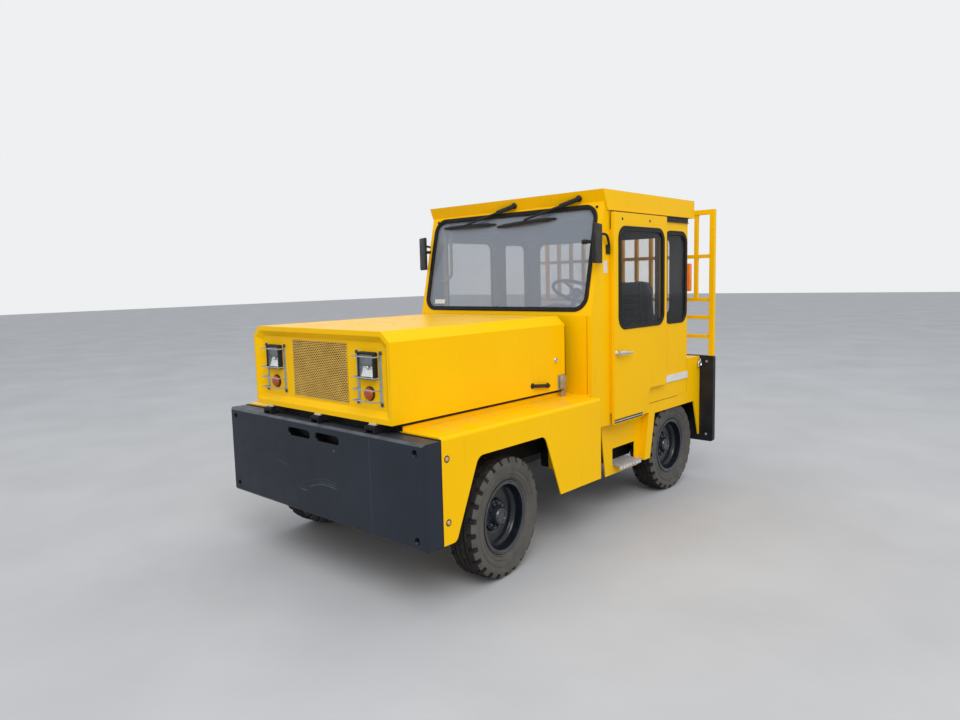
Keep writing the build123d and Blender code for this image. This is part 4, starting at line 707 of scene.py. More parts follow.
def add_rim(bm, place, hub_z):
    """Two-piece deep rim: lock ring, gutter, drop centre, disc and the hub's barrel with its cap."""
    add_lathe(bm, place, RIM_BACK, 64)
    add_lathe(bm, place, RIM_EDGE, 64)
    # the dish takes the darker copy of the rim paint, as painted shade
    add_lathe(bm, place, RIM_DISH, 64, 1)
    hub = [(0.0930, 0.0900), (0.1010, 0.0890), (0.1030, 0.0865), (0.1030, 0.0640), (0.1120, 0.0600)]
    cap = (
        (-0.016, 0.0560), (-0.006, 0.0530), (0.0, 0.0470), (0.0005, 0.0330), (-0.004, 0.0310),
        (-0.004, 0.0100),
    )
    add_lathe(bm, place, hub + [(hub_z + h, r) for h, r in cap], 48, cap_mat=0)


def add_wheel(name, side, y, steered):
    place, out = wheel_frame(side, y, steered)
    body = f"wheel_{name}"
    bm = bmesh.new()
    add_tyre(bm, place)
    tyre = add_piece(f"tyre_{name}_tread", bm, [SIDEWALL, CROWN], body, smooth=28)
    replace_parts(tyre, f"tyre_{name}")
    hub_z = 0.158 if steered else 0.150
    bm = bmesh.new()
    add_rim(bm, place, hub_z)
    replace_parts(add_piece(f"rim_{name}_dish", bm, [RIM, RIM_IN_SHADOW], body), f"rim_{name}")
    # studs round the hub, screws on its cap, and the valve
    bm = bmesh.new()
    for count, first, circle, stand, radius, high in (
        (10, 0.5, 0.0745, 0.1028, 0.0115, 0.017), (8, 0.0, 0.041, hub_z, 0.0042, 0.004),
    ):
        for k in range(count):
            a = 2 * math.pi * (k + first) / count
            at = place @ Vector((circle * math.cos(a), circle * math.sin(a), stand))
            hex_bolt(bm, at, out, radius, high, washer=circle > 0.05)
    valve = ((0.150, 0.012, 0.105), (0.156, 0.014, 0.128), (0.164, 0.017, 0.142))
    add_tube(bm, [place @ Vector(p) for p in valve], 0.0042, 8)
    add_piece(f"nuts_{name}", bm, RIM, body)


def add_wheels():
    for end, y, steered in (("front", FRONT_AXLE_Y, True), ("rear", REAR_AXLE_Y, False)):
        for side_name, s in SIDES:
            add_wheel(f"{end}_{side_name}", s, y, steered)


# Window gaskets
def gasket(name, body, place, half_w, half_h, radius, width, lift, inner=0.012):
    """Rubber profile that laps over panel and glass; half sizes are those of its outer outline."""
    bm = bmesh.new()
    outer = width - inner
    section = (
        (-inner, -0.009), (-inner, lift * 0.55), (-inner + 0.004, lift * 0.95), (-0.002, lift * 0.62),
        (0.002, lift * 0.62), (outer - 0.006, lift), (outer, lift * 0.5), (outer, -0.001),
        (0.0, -0.001), (0.0, -0.009),
    )
    add_ring(bm, place, half_w - outer, half_h - outer, radius, section, steps=9)
    add_piece(name, bm, RUBBER, body, smooth=40)


WINDSHIELD_LOW, WINDSHIELD_HIGH, WINDSHIELD_HALF = 1.537, 2.286, 0.812
REAR_LOW, REAR_HIGH, REAR_HALF, REAR_FACE_Y = 1.406, 2.129, 0.724, 3.165
SIDE_WINDOWS = (
    # label, body, x of the panel, y range from the front, z range, width of the gasket
    ("door", "door_{}", DOOR_FACE, (2.020, 2.695), (1.393, 2.137), 0.034),
    ("quarter", "chassis", CAB_SIDE, (2.766, 3.152), (1.386, 2.130), 0.036),
)


def gaskets():
    mid = (WINDSHIELD_LOW + WINDSHIELD_HIGH) / 2
    place = basis((0, rake_y(mid), mid), ACROSS, UP_RAKE)
    half = (WINDSHIELD_HIGH - WINDSHIELD_LOW) / 2 / math.cos(RAKE)
    gasket(
        "windshield_gasket", "chassis", place, WINDSHIELD_HALF, half, 0.085,
        width=0.032, lift=0.010, inner=0.005,
    )
    for side_name, s in SIDES:
        for label, body, x, y_range, z_range, wide in SIDE_WINDOWS:
            centre = spot(s, x, sum(y_range) / 2, sum(z_range) / 2)
            half_w, half_h = (y_range[1] - y_range[0]) / 2, (z_range[1] - z_range[0]) / 2
            place = basis(centre, (0, s, 0), UP)
            name = f"{label}_gasket_{side_name}"
            gasket(name, body.format(side_name), place, half_w, half_h, 0.072, width=wide, lift=0.008)
    place = basis((0, FRONT + REAR_FACE_Y, (REAR_LOW + REAR_HIGH) / 2), (-1, 0, 0), UP)
    half = (REAR_HIGH - REAR_LOW) / 2
    gasket("rear_gasket", "chassis", place, REAR_HALF, half, 0.072, width=0.036, lift=0.008)


# Grille
def expanded_grille():
    """Expanded-metal sheet: waved strands, each row half a wave behind the one below."""
    lo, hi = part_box("grille")
    edge = 0.0005
    half_w, z0, z1 = hi.x - edge, lo.z + edge, hi.z - edge
    y, mid_z = hi.y - edge, (z0 + z1) / 2
    pitch, wave, strand, thick, steps = 0.0104, 0.023, 0.0064, 0.0026, 6
    count = round((z1 - z0) / pitch)
    waves = round(2 * half_w / wave)
    dz = (z1 - z0) / count
    swing = (dz - strand) / 2
    bm = bmesh.new()
    for r in range(count):
        rows = []
        for k in range(waves * steps + 1):
            x = -half_w + 2 * half_w * k / (waves * steps)
            z = z0 + dz * (r + 0.5) + swing * math.cos(2 * math.pi * k / steps + math.pi * (r % 2))
            low, high = z - strand * 0.46, z + strand * 0.46
            corners = ((y - thick * 0.6, low), (y - thick, low), (y - thick * 0.4, high), (y, high))
            rows.append([bm.verts.new((x, at_y, at_z)) for at_y, at_z in corners])
        join_rows(bm, rows)
    # rim strip round the sheet
    section = ((-0.004, 0.0), (-0.004, 0.003), (0.0, 0.003), (0.0, 0.0))
    add_ring(bm, basis((0, y, mid_z), ACROSS, UP), half_w, (z1 - z0) / 2, 0.003, section, steps=2)
    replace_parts(add_piece("grille_mesh", bm, OCHRE, "hood", smooth=0), "grille")
    # dark radiator matrix close behind, with a shroud that lines the opening
    bm = bmesh.new()
    fins, fin = 56, 0.0022
    core_half, core_high = half_w - 0.010, z1 - z0 - 0.034
    for i in range(fins):
        x = core_half * (2 * i / (fins - 1) - 1)
        add_box(bm, (x, y + 0.030, mid_z), (fin, 0.012, core_high))
    add_box(bm, (0, y + 0.040, mid_z), (2 * core_half, 0.006, core_high), bevel=0.002)
    sheet, shroud_y, shroud_deep = 0.006, y + 0.024, 0.042
    for s in (1, -1):
        side_x, edge_z = s * (half_w - 0.0035), mid_z + s * (core_high / 2 + 0.006)
        add_box(bm, (side_x, shroud_y, mid_z), (sheet, shroud_deep, core_high + 0.012))
        add_box(bm, (0, shroud_y, edge_z), (2 * core_half, shroud_deep, sheet))
    add_piece("radiator_matrix", bm, BLACK, "hood", smooth=0)


# Lamps
def add_sheet(bm, cols, rows, point, material=None):
    """Grid of quads over point(u, v, i, j) with u and v from -1 to 1."""
    grid = []
    for i in range(cols + 1):
        us = [(-1 + 2 * i / cols, -1 + 2 * j / rows, i, j) for j in range(rows + 1)]
        grid.append([bm.verts.new(point(*u)) for u in us])
    for i in range(cols):
        for j in range(rows):
            corners = (grid[i][j], grid[i + 1][j], grid[i + 1][j + 1], grid[i][j + 1])
            add_quad(bm, corners, material(-1 + 2 * j / rows) if material else 0)


def headlamp(side_name, place, half_w, half_h, deep):
    """Housing with a grey ribbed upper half, a painted dark reflection, over a bright bowl, and a lens with
    upright flutes.
    """
    bezel, wall = 0.011, 0.002
    in_w, in_h = half_w - bezel, half_h - bezel
    bm = bmesh.new()
    section = (
        (0.0, 0.0), (0.0, deep - 0.006), (-0.004, deep), (-bezel + 0.001, deep),
        (-bezel - 0.003, deep - 0.005), (-bezel - 0.003, 0.0),
    )
    add_ring(bm, place, half_w, half_h, 0.010, section, steps=5)

    def bowl(u, v, i, j):
        rib = 0.0025 * (j % 2) if v > 0.0 else 0.0
        depth = 0.003 + 0.007 * u * u + 0.012 * v * v + rib
        return place @ Vector((u * (in_w + wall), v * (in_h + wall), depth))

    # the upper half of the bowl takes the painted dark reflection
    add_sheet(bm, 18, 18, bowl, lambda v: 2 if v >= 0.0 else 1)
    # bulb shield, and the step between the painted dark reflection and the bright bowl
    bulb = ((0.004, 0.015), (0.012, 0.0145), (0.018, 0.011), (0.0205, 0.005))
    add_lathe(bm, place @ Matrix.Translation((0, -0.010, 0)), bulb, 20, 1, cap_mat=1)
    add_box(bm, place.translation + Vector((0, -0.013, 0)), (2 * in_w, 0.014, 0.003), 0.001)
    shell = add_piece(f"headlamp_{side_name}", bm, [PLASTIC, REFLECTOR, DARK_REFLECTION], "hood")
    bm = bmesh.new()

    def crowned(u, v, i, j):
        flute = 0.0009 * abs(math.sin(i * math.pi / 3))
        h = deep - 0.0075 + 0.0035 * (1 - u * u) * (1 - v * v) + flute
        return place @ Vector((u * in_w, v * in_h, h))

    add_sheet(bm, 45, 8, crowned)
    add_piece(f"headlamp_lens_{side_name}", bm, CLEAR, "hood", smooth=20)
    return shell


def indicator(side_name, place, radius, deep):
    """Base ring and ribbed amber dome."""
    bm = bmesh.new()
    ring_high, dome_radius = 0.0095, radius - 0.005
    base = ((0.0, radius), (0.008, radius), (ring_high, radius - 0.0015), (ring_high, dome_radius - 0.0003))
    add_lathe(bm, place, base, 36, cap_mat=0)
    dome = [(ring_high, dome_radius)]
    for k in range(1, 8):
        rise = (deep - ring_high - 0.001) * math.sin(k / 7 * math.pi / 2)
        dome.append((ring_high + rise + (0.0006 if k % 2 else 0.0), dome_radius * math.cos(k / 7 * 1.25)))
    add_lathe(bm, place, dome, 36, 1, cap_mat=1)
    return add_piece(f"indicator_{side_name}", bm, [PLASTIC, AMBER], "hood")


def lamps():
    """Headlamps, indicators and the nuts of their guards on the hood's sunk panel."""
    lamp_lo, lamp_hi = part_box("headlamps")
    dot_lo, dot_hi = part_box("indicators")
    guard_lo, guard_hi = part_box("lamp_guards")
    face, deep = lamp_hi.y, lamp_hi.y - lamp_lo.y
    dot_radius = (dot_hi.z - dot_lo.z) / 2
    lamp_x = dot_hi.x - dot_radius
    half_w, half_h = lamp_hi.x - lamp_x, (lamp_hi.z - lamp_lo.z) / 2
    guard_half = guard_hi.x - lamp_x - 0.004
    for side_name, s in SIDES:
        place = basis((s * lamp_x, face, (lamp_lo.z + lamp_hi.z) / 2), ACROSS, UP)
        shell = headlamp(side_name, place, half_w, half_h, deep)
        dot_place = basis((s * lamp_x, face, (dot_lo.z + dot_hi.z) / 2), ACROSS, UP)
        dot = indicator(side_name, dot_place, dot_radius, deep)
        if s > 0:
            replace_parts(shell, "headlamps")
            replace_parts(dot, "indicators")
        # round nuts at the feet of the guard's uprights
        bm = bmesh.new()
        for dx in (-guard_half, guard_half):
            for z in (guard_lo.z + 0.014, guard_hi.z - 0.012):
                hex_bolt(bm, (s * lamp_x + dx, face - 0.004, z), (0, -1, 0), 0.0080, 0.009, round_head=True)
        add_piece(f"guard_nuts_{side_name}", bm, CAST, "hood")


# Hood fittings
def hood_fittings():
    latch_y, handle_out = 1.596, 0.018
    for side_name, s in SIDES:

        def on_hood(out, y, z):
            return spot(s, HOOD_SIDE + out, y, z)

        # black grab handle, slightly tilted
        bm = bmesh.new()
        front, rear = (1.285, 1.0665), (1.427, 1.0502)
        feet = on_hood(0, front[0] - 0.012, front[1]), on_hood(0, rear[0] + 0.012, rear[1])
        bar = (
            feet[0], on_hood(handle_out, front[0] - 0.008, front[1]),
            on_hood(handle_out, rear[0] + 0.008, rear[1]), feet[1],
        )
        add_tube(bm, arc_points(bar, 0.012, 5), 0.0120, 10)
        for p in feet:
            foot = ((0.0, 0.019), (0.004, 0.0185), (0.006, 0.013))
            add_lathe(bm, basis(p, (0, s, 0), UP), foot, 18, cap_mat=0)
        add_piece(f"hood_handle_{side_name}", bm, PLASTIC, "hood")
        # toggle latch at the rear lower corner, with its bail, roller and rivets
        bm = bmesh.new()
        add_box(bm, on_hood(0.003, latch_y, 1.0530), (0.006, 0.080, 0.106), 0.002)
        add_box(bm, on_hood(0.016, latch_y, 1.0570), (0.020, 0.060, 0.094), 0.006, 3)
        near, far = latch_y - 0.016, latch_y + 0.016
        bail = ((0.016, near, 1.030), (0.020, near, 0.992), (0.020, far, 0.992), (0.016, far, 1.030))
        add_tube(bm, arc_points([on_hood(*p) for p in bail], 0.010, 4), 0.0035, 8)
        add_tube(bm, [on_hood(0.018, latch_y + dy, 1.082) for dy in (-0.024, 0.024)], 0.005, 10)
        for z in (1.016, 1.086):
            at = on_hood(0.006, latch_y + 0.020, z)
            hex_bolt(bm, at, (s, 0, 0), 0.004, 0.003, round_head=True, washer=False)
        add_piece(f"hood_latch_{side_name}", bm, LATCH_STEEL, "hood")
        # keeper on the fender, below the hood's edge
        bm = bmesh.new()
        add_box(bm, on_hood(0.012, latch_y, 0.9685), (0.024, 0.044, 0.023), 0.003)
        add_tube(bm, [on_hood(0.022, latch_y + dy, 0.982) for dy in (-0.022, 0.022)], 0.004, 8)
        add_piece(f"latch_keeper_{side_name}", bm, LATCH_STEEL, "chassis")
        # round lock
        bm = bmesh.new()
        lock = (
            (0.0, 0.0210), (0.005, 0.0205), (0.0080, 0.0175), (0.0085, 0.0120), (0.0040, 0.0110),
            (0.0040, 0.003),
        )
        place = basis(on_hood(0, 1.538, 1.214), (0, s, 0), UP)
        add_lathe(bm, place, lock, 24, cap_mat=1)
        add_piece(f"hood_lock_{side_name}", bm, [CHROME, BLACK], "hood")
        # rubber edge down the hood's rear end
        bm = bmesh.new()
        add_box(bm, on_hood(0, 1.6470, 1.2400), (0.0030, 0.0040, 0.400))
        add_piece(f"hood_edge_{side_name}", bm, RUBBER, "hood", smooth=0)


# Body fasteners and seals
def fasteners():
    bm = bmesh.new()
    # socket screws at the bottom of the bumper's corner bores
    for _, s in SIDES:
        for z in (0.421, 0.891):
            hex_bolt(bm, spot(s, 0.902, 0.030, z), (0, -1, 0), 0.0085, 0.014, round_head=True, washer=False)
    add_piece("bumper_screws", bm, CAST, "chassis")
    bm = bmesh.new()
    washer = ((0.0, 0.0200), (0.0016, 0.0198), (0.0018, 0.0125))
    head = ((0.0016, 0.0128), (0.0040, 0.0120), (0.0058, 0.0085), (0.0066, 0.0040))
    for _, s in SIDES:
        for z in (0.490, 0.838):
            place = basis(spot(s, 0.965, 0.172, z), (0, s, 0), UP)
            add_lathe(bm, place, washer, 24, cap_mat=0)
            add_lathe(bm, place, head, 18, 1, cap_mat=1)
    add_piece("fender_bolts", bm, [RUSTY, BRASS], "chassis")
    # rubber between bumper and fenders; black strips across under the hood's front edge, along the flanges
    # under the hood and at their front ends
    bm = bmesh.new()
    add_box(bm, spot(0, 0, 0.126, 0.660), (1.936, 0.0136, 0.580), 0.003, 2)
    add_box(bm, spot(0, 0, 0.126, 0.968), (1.290, 0.010, 0.052), 0.002, 1)
    for _, s in SIDES:
        add_box(bm, spot(s, 0.6612, 0.896, 0.992), (0.004, 1.516, 0.020), 0.001, 1)
        add_box(bm, spot(s, 0.657, 0.132, 0.990), (0.016, 0.010, 0.066), 0.002, 1)
    add_piece("body_dark_strips", bm, RUBBER, smooth=0)
    # black plates behind the steps: painted shade of the underbody, hiding the pale floor
    bm = bmesh.new()
    for _, s in SIDES:
        add_box(bm, spot(s, 0.606, 2.680, 0.495), (0.006, 0.130, 0.310), 0.002, 1)
    add_piece("step_shadow_plates", bm, RUBBER, smooth=0)
    # heads on the front face of the rear plate's ends, and the coupling's bolts on its rear face
    bm = bmesh.new()
    for _, s in SIDES:
        for z in (0.392, 1.030):
            hex_bolt(bm, spot(s, 0.912, 3.410, z), (0, -1, 0), 0.0075, 0.006)
    for x in (-0.066, 0.066):
        for z in (0.350, 0.620):
            hex_bolt(bm, spot(1, x, 3.455, z), (0, 1, 0), 0.012, 0.010)
    add_piece("rear_plate_bolts", bm, ZINC, "chassis")


# Doors
LEVER = ((0.034, 1.978, 1.233), (0.036, 2.040, 1.231), (0.034, 2.100, 1.227), (0.028, 2.162, 1.222))
ROSE = ((0.0, 0.0215), (0.005, 0.0210), (0.0075, 0.0190), (0.030, 0.0165), (0.036, 0.0150), (0.038, 0.012))
STRIP_Y, STRIP_LONG, STRIP_Z = 2.163, 0.396, 0.7335


def door_fittings():
    for side_name, s in SIDES:
        body = f"door_{side_name}"

        def on_door(out, y, z):
            return spot(s, DOOR_FACE + out, y, z)

        # handle: round rose with a tapering lever to the rear
        bm = bmesh.new()
        add_lathe(bm, basis(on_door(0, 1.992, 1.230), (0, s, 0), UP), ROSE, 28, cap_mat=0)
        lever = [on_door(*p) for p in LEVER]
        add_tube(bm, arc_points(lever, 0.02, 4), 0.0105, 12, flat=0.75, flat_dir=ACROSS)
        neck = (lever[0], lever[1], lever[1].lerp(lever[2], 0.3))
        add_tube(bm, neck, 0.0165, 14, flat=0.55, flat_dir=ACROSS)
        add_piece(f"door_handle_{side_name}", bm, CHROME, body)
        # roller fixings at the top, and the aluminium strip between dark lines at the foot
        bm = bmesh.new()
        for y in (2.078, 2.470):
            hex_bolt(bm, on_door(0, y, 2.184), (s, 0, 0), 0.0075, 0.005, round_head=True)
        add_piece(f"roller_bolts_{side_name}", bm, CAST, body)
        bm = bmesh.new()
        add_box(bm, on_door(0.0022, STRIP_Y, STRIP_Z), (0.0044, STRIP_LONG, 0.009), 0.001)
        for dz in (0.009, -0.009):
            add_box(bm, on_door(0.0016, STRIP_Y, STRIP_Z + dz), (0.0032, STRIP_LONG, 0.008), 0.0006, mat=1)
        add_piece(f"door_strip_{side_name}", bm, [ALUM, RUBBER], body)
        # strip that closes the gap to the pillar at the door's front edge
        bm = bmesh.new()
        add_box(bm, spot(s, 0.8555, 1.967, 1.450), (0.0130, 0.006, 1.320), 0.001, 1)
        add_piece(f"door_lip_{side_name}", bm, YELLOW, body, smooth=0)
        # flat pull inside
        bm = bmesh.new()
        pull = ((0.8615, 2.060), (0.8545, 2.066), (0.8545, 2.214), (0.8615, 2.220))
        add_tube(bm, arc_points([spot(s, x, y, 1.30) for x, y in pull], 0.005, 4), 0.0045, 10)
        add_piece(f"door_pull_{side_name}", bm, PLASTIC, body)


# Plates, labels and studs
def blank_plate():
    """Small white plate, left blank, on the left pillar below the mirror's arm."""
    bm = bmesh.new()
    add_box(bm, spot(1, 0.849, 1.907, 1.845), (0.002, 0.050, 0.088), 0.0008, 1)
    add_piece("blank_plate", bm, WHITE, smooth=0)


def windshield_marks():
    """Blank label low on the glass, round studs at the gasket's upper corners."""
    low, high, left, right = 1.589, 1.623, -0.718, -0.600
    corners = ((left, low), (right, low), (right, high), (left, high))
    bm = bmesh.new()
    for lift in (0.0005, 0.0015):
        glass = [Vector((x, rake_y(z) + GLASS_LIFT, z)) for x, z in corners]
        bm.faces.new([bm.verts.new(p + OFF_RAKE * lift) for p in glass])
    add_piece("windshield_label", bm, WHITE, smooth=0)
    bm = bmesh.new()
    stud_z = 2.264
    for x in (-0.776, 0.798):
        at = Vector((x, rake_y(stud_z) - 0.004, stud_z))
        hex_bolt(bm, at, OFF_RAKE, 0.0095, 0.010, round_head=True, washer=False)
    add_piece("gasket_studs", bm, RUBBER)


# Wipers
LIP_Z, LIP_TOP, LIP_DROP, LIP_RUN = 2.335, 2.383, 0.142, 0.058
TIP_Z = 2.212
WIPERS = (
    # x of the pivot, x of the arm's tip, then x and z of both ends of the blade
    (0.647, 0.167, ((-0.121, 2.183), (0.449, 2.207))),
    (0.051, -0.454, ((-0.712, 2.209), (-0.137, 2.204))),
)
HUB = ((0.0, 0.024), (0.012, 0.0235), (0.017, 0.019), (0.025, 0.018), (0.028, 0.012))
YOKE = ((0.10, 0.013), (0.30, 0.022), (0.50, 0.026), (0.70, 0.022), (0.90, 0.013))


def wipers():
    bm = bmesh.new()
    out = OFF_RAKE
    lip = Vector((0, -0.925, -0.379)).normalized()

    def on_glass(x, z):
        return Vector((x, rake_y(z) + GLASS_LIFT, z))

    for pivot_x, tip_x, ends in WIPERS:
        base = Vector((pivot_x, FRONT + 1.869 + (LIP_TOP - LIP_Z) / LIP_DROP * LIP_RUN, LIP_Z))
        add_lathe(bm, basis(base, ACROSS, lip.cross(Vector(ACROSS))), HUB, 20, cap_mat=0)
        start, tip = base + lip * 0.020, on_glass(tip_x, TIP_Z) + out * 0.030
        mid = start.lerp(tip, 0.32)
        # cast head, then a thin arm
        heel = start - (tip - start).normalized() * 0.012
        add_tube(bm, (heel, start, start.lerp(tip, 0.16), mid), 0.0185, 10, flat=0.70, flat_dir=out)
        add_tube(bm, (mid, start.lerp(tip, 0.7), tip), 0.0090, 8, flat=0.8, flat_dir=out)
        # rubber on the glass, holder above it, and the yoke
        a, b = on_glass(*ends[0]), on_glass(*ends[1])
        add_tube(bm, (a + out * 0.005, b + out * 0.005), 0.0050, 8)
        add_tube(bm, [a.lerp(b, share) + out * 0.012 for share in (0.02, 0.98)], 0.0085, 8)
        yoke = [a.lerp(b, share) + out * lift for share, lift in YOKE]
        add_tube(bm, yoke, 0.0135, 8, flat=0.7, flat_dir=out)
        add_tube(bm, (a.lerp(b, 0.5) + out * 0.020, tip), 0.0110, 8)
    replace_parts(add_piece("wiper_set", bm, PLASTIC), "wipers")


# Mirrors
MIRRORS = (
    # side, sign, middle x, middle y from the front, turn; the near one is folded in, the far one is out
    ("left", 1, 0.890, 1.746, 13.0),
    ("right", -1, 0.876, 1.788, -65.0),
)
MIRROR_Z, MIRROR_WIDE, MIRROR_HIGH, MIRROR_DEEP = 2.005, 0.150, 0.270, 0.021
CLAMP_Y, CLAMP_Z, ARM_X = 1.932, 1.970, 0.880
ARM_FRONT, ARM_END = 1.830, 1.812


def mirrors():
    """Mirror bodies with their glass, on bent arms clamped to the cab's sides."""
    for side_name, s, middle_x, middle_y, degrees in MIRRORS:
        turn = math.radians(degrees)
        centre = spot(s, middle_x, middle_y, MIRROR_Z)
        x_dir = Vector((-s * math.sin(turn), math.cos(turn), 0))
        rot = basis(centre, x_dir, UP).to_3x3()
        bm = bmesh.new()
        add_box(bm, centre, (MIRROR_WIDE, MIRROR_HIGH, MIRROR_DEEP), 0.0095, 4, turn=rot)
        # glass on the side that the driver sees
        normal = rot @ Vector(UP)
        inward = normal if normal.x * s < 0 else -normal
        pane = (MIRROR_WIDE - 0.018, MIRROR_HIGH - 0.020, 0.0006)
        add_box(bm, centre + inward * (MIRROR_DEEP / 2 + 0.0001), pane, 0.0002, 1, turn=rot, mat=1)
        # bent arm from the clamp up, out and forward to the mirror's rear edge
        edge = centre + x_dir * (MIRROR_WIDE / 2 - 0.010)
        foot = spot(s, 0.850, CLAMP_Y, CLAMP_Z)
        path = (
            foot, spot(s, ARM_X - 0.006, CLAMP_Y - 0.012, CLAMP_Z + 0.030),
            spot(s, ARM_X, 1.882, CLAMP_Z + 0.100),
            Vector((edge.x, min(edge.y, FRONT + ARM_FRONT), CLAMP_Z + 0.101)),
            Vector((edge.x, min(edge.y, FRONT + ARM_END), CLAMP_Z + 0.096)),
        )
        add_tube(bm, arc_points(path, 0.030, 7), 0.0095)
        add_box(bm, foot + Vector((s * 0.004, 0.004, -0.002)), (0.012, 0.046, 0.066), 0.004, 3)
        for dz in (-0.022, 0.020):
            hex_bolt(bm, foot + Vector((s * 0.010, 0.004, dz)), (s, 0, 0), 0.006, 0.005, round_head=True)
        # pivot knob on the mirror's back, towards the glass
        knob = centre + Vector((-s * 0.012, 0.004, 0.014))
        add_tube(bm, (knob, knob + inward * 0.100), 0.0125, 14)
        add_tube(bm, (knob + inward * 0.066, knob + inward * 0.100), 0.0165, 14)
        made = add_piece(f"mirror_{side_name}", bm, [PLASTIC, MIRROR])
        if s > 0:
            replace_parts(made, "mirrors")


# Step treads
TREAD_X, TREAD_Y, TREAD_Z = (0.690, CAB_SIDE), (2.095, 2.411), 0.3695
TREAD_COLS, TREAD_ROWS, LIP_BOSSES = 6, 12, 7


def treads():
    """Chequered plates with crossed lozenges on top and round bosses on the lip."""
    for side_name, s in SIDES:
        x0, x1 = s * TREAD_X[0], s * TREAD_X[1]
        y0, y1 = FRONT + TREAD_Y[0], FRONT + TREAD_Y[1]
        mid = Vector(((x0 + x1) / 2, (y0 + y1) / 2, TREAD_Z))
        bm = bmesh.new()
        add_box(bm, mid, (abs(x1 - x0), y1 - y0, 0.003), 0.001, 1)
        add_box(bm, (x1 - s * 0.002, mid.y, 0.3540), (0.004, y1 - y0, 0.034), 0.0015, 1)
        for i in range(TREAD_COLS):
            for j in range(TREAD_ROWS):
                x, y = x0 + (x1 - x0) * (i + 0.5) / TREAD_COLS, y0 + (y1 - y0) * (j + 0.5) / TREAD_ROWS
                turn = Matrix.Rotation(math.radians(45 if (i + j) % 2 else -45), 3, "Z")
                add_box(bm, (x, y, TREAD_Z + 0.0019), (0.021, 0.0062, 0.0022), 0.0010, 1, turn=turn, mat=1)
        for j in range(LIP_BOSSES):
            y = y0 + (y1 - y0) * (j + 0.5) / LIP_BOSSES
            add_box(bm, (x1 - s * 0.0006, y, 0.354), (0.0024, 0.026, 0.017), 0.001, 1, mat=1)
        made = add_piece(f"step_tread_{side_name}", bm, [TREAD, BOSS], "chassis", smooth=0)
        if s > 0:
            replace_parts(made, "step_treads")


# Tail lamps and shackles
SHACKLE_X, SHACKLE_Y, SHACKLE_Z, BOW_RADIUS = 0.862, 3.385, 1.040, 0.026


def rear_corner():
    lo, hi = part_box("tail_lamps")
    wide, high, deep = 0.072, hi.z - lo.z, hi.y - lo.y
    for side_name, s in SIDES:
        bm = bmesh.new()
        x = s * (hi.x - wide / 2)
        add_box(bm, (x, lo.y + deep * 0.45, (lo.z + hi.z) / 2), (wide, deep * 0.9, high), 0.008, 3)
        # lenses on the rear face: orange above, red below
        for share, part, m in ((0.73, 0.50, 0), (0.235, 0.43, 1)):
            at = (x, hi.y - deep * 0.08, lo.z + high * share)
            add_box(bm, at, (wide - 0.006, deep * 0.16, high * part), 0.003, 2, mat=m)
        made = add_piece(f"tail_lamp_{side_name}", bm, [ORANGE, RED], "chassis")
        if s > 0:
            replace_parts(made, "tail_lamps")
        # bow shackle hanging on an eye at the deck's corner
        bm = bmesh.new()
        top = spot(s, SHACKLE_X, SHACKLE_Y, SHACKLE_Z)
        angles = [math.radians(-40 + 260 * k / 14) for k in range(15)]
        bow = [Vector((0.0, BOW_RADIUS * math.cos(a), -0.030 + BOW_RADIUS * math.sin(a))) for a in angles]
        add_tube(bm, [top + p for p in bow], 0.0080, 10)
        add_tube(bm, [top + Vector((0, y, -0.052)) for y in (-0.032, 0.032)], 0.0085, 10)
        eye = ((-0.014, 0.012), (0.006, 0.012), (0.006, -0.012), (-0.014, -0.012))
        add_tube(bm, arc_points([top + Vector((s * out, 0, z)) for out, z in eye], 0.008, 4), 0.005, 8)
        add_piece(f"shackle_{side_name}", bm, CHROME, "chassis")


# Seat pads
CLOTH_FRAMES = 18
# room past the CAD box, low and high
PAD_SPARE = (Vector((0.004, 0.004, 0.0)), Vector((0.004, 0.004, 0.006)))


def carried_out(o):
    """Mesh of o with its modifiers applied; the modifiers are removed."""
    mesh = bpy.data.meshes.new_from_object(o.evaluated_get(bpy.context.evaluated_depsgraph_get()))
    o.modifiers.clear()
    return mesh


def blow(o, cap_move):
    """Fills o with pressure as cloth; no vertex moves farther than cap_move."""
    scene = bpy.context.scene
    rest = [v.co.copy() for v in o.data.vertices]
    cloth = o.modifiers.new("cloth", "CLOTH").settings
    cloth.quality = 5
    cloth.use_pressure = True
    cloth.uniform_pressure_force = 4.0
    cloth.effector_weights.gravity = 0.0
    cloth.tension_stiffness = 25
    cloth.bending_stiffness = 0.6
    for f in range(1, CLOTH_FRAMES + 1):
        scene.frame_set(f)
    done = carried_out(o)
    scene.frame_set(1)
    for v, r in zip(done.vertices, rest):
        d = v.co - r
        if d.length > cap_move:
            v.co = r + d.normalized() * cap_move
    o.data = done


def cushion(name, node, shrink, channels):
    """Pressure-blown pad made from the CAD solid, then creased by sewn channels."""
    lo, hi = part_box(node)
    mid = (lo + hi) / 2
    mesh = nodes[node].data.copy()
    o = bpy.data.objects.new(name, mesh)
    bpy.context.scene.collection.objects.link(o)
    for v in mesh.vertices:
        d = v.co - mid
        v.co = mid + Vector((d.x * shrink[0], d.y * shrink[1], d.z * shrink[2]))
    mesh.materials.clear()
    bpy.context.view_layer.objects.active = o
    o.select_set(True)
    remesh = o.modifiers.new("remesh", "REMESH")
    remesh.mode = "VOXEL"
    remesh.voxel_size = 0.006
    o.data = carried_out(o)
    blow(o, 0.014)
    low, high = lo - PAD_SPARE[0], hi + PAD_SPARE[1]
    for v in o.data.vertices:
        v.co = [min(max(c, a), b) for c, a, b in zip(channels(v.co.copy(), lo, hi), low, high)]
    o.data.materials.append(CLOTH)
    o.data.shade_smooth()
    o.modifiers.new("smooth", "SMOOTH").iterations = 2
    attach(o, "chassis")
    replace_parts(o, node)


def groove(d, half, depth):
    return depth * max(0.0, 1 - (d / half) ** 2) if abs(d) < half else 0.0


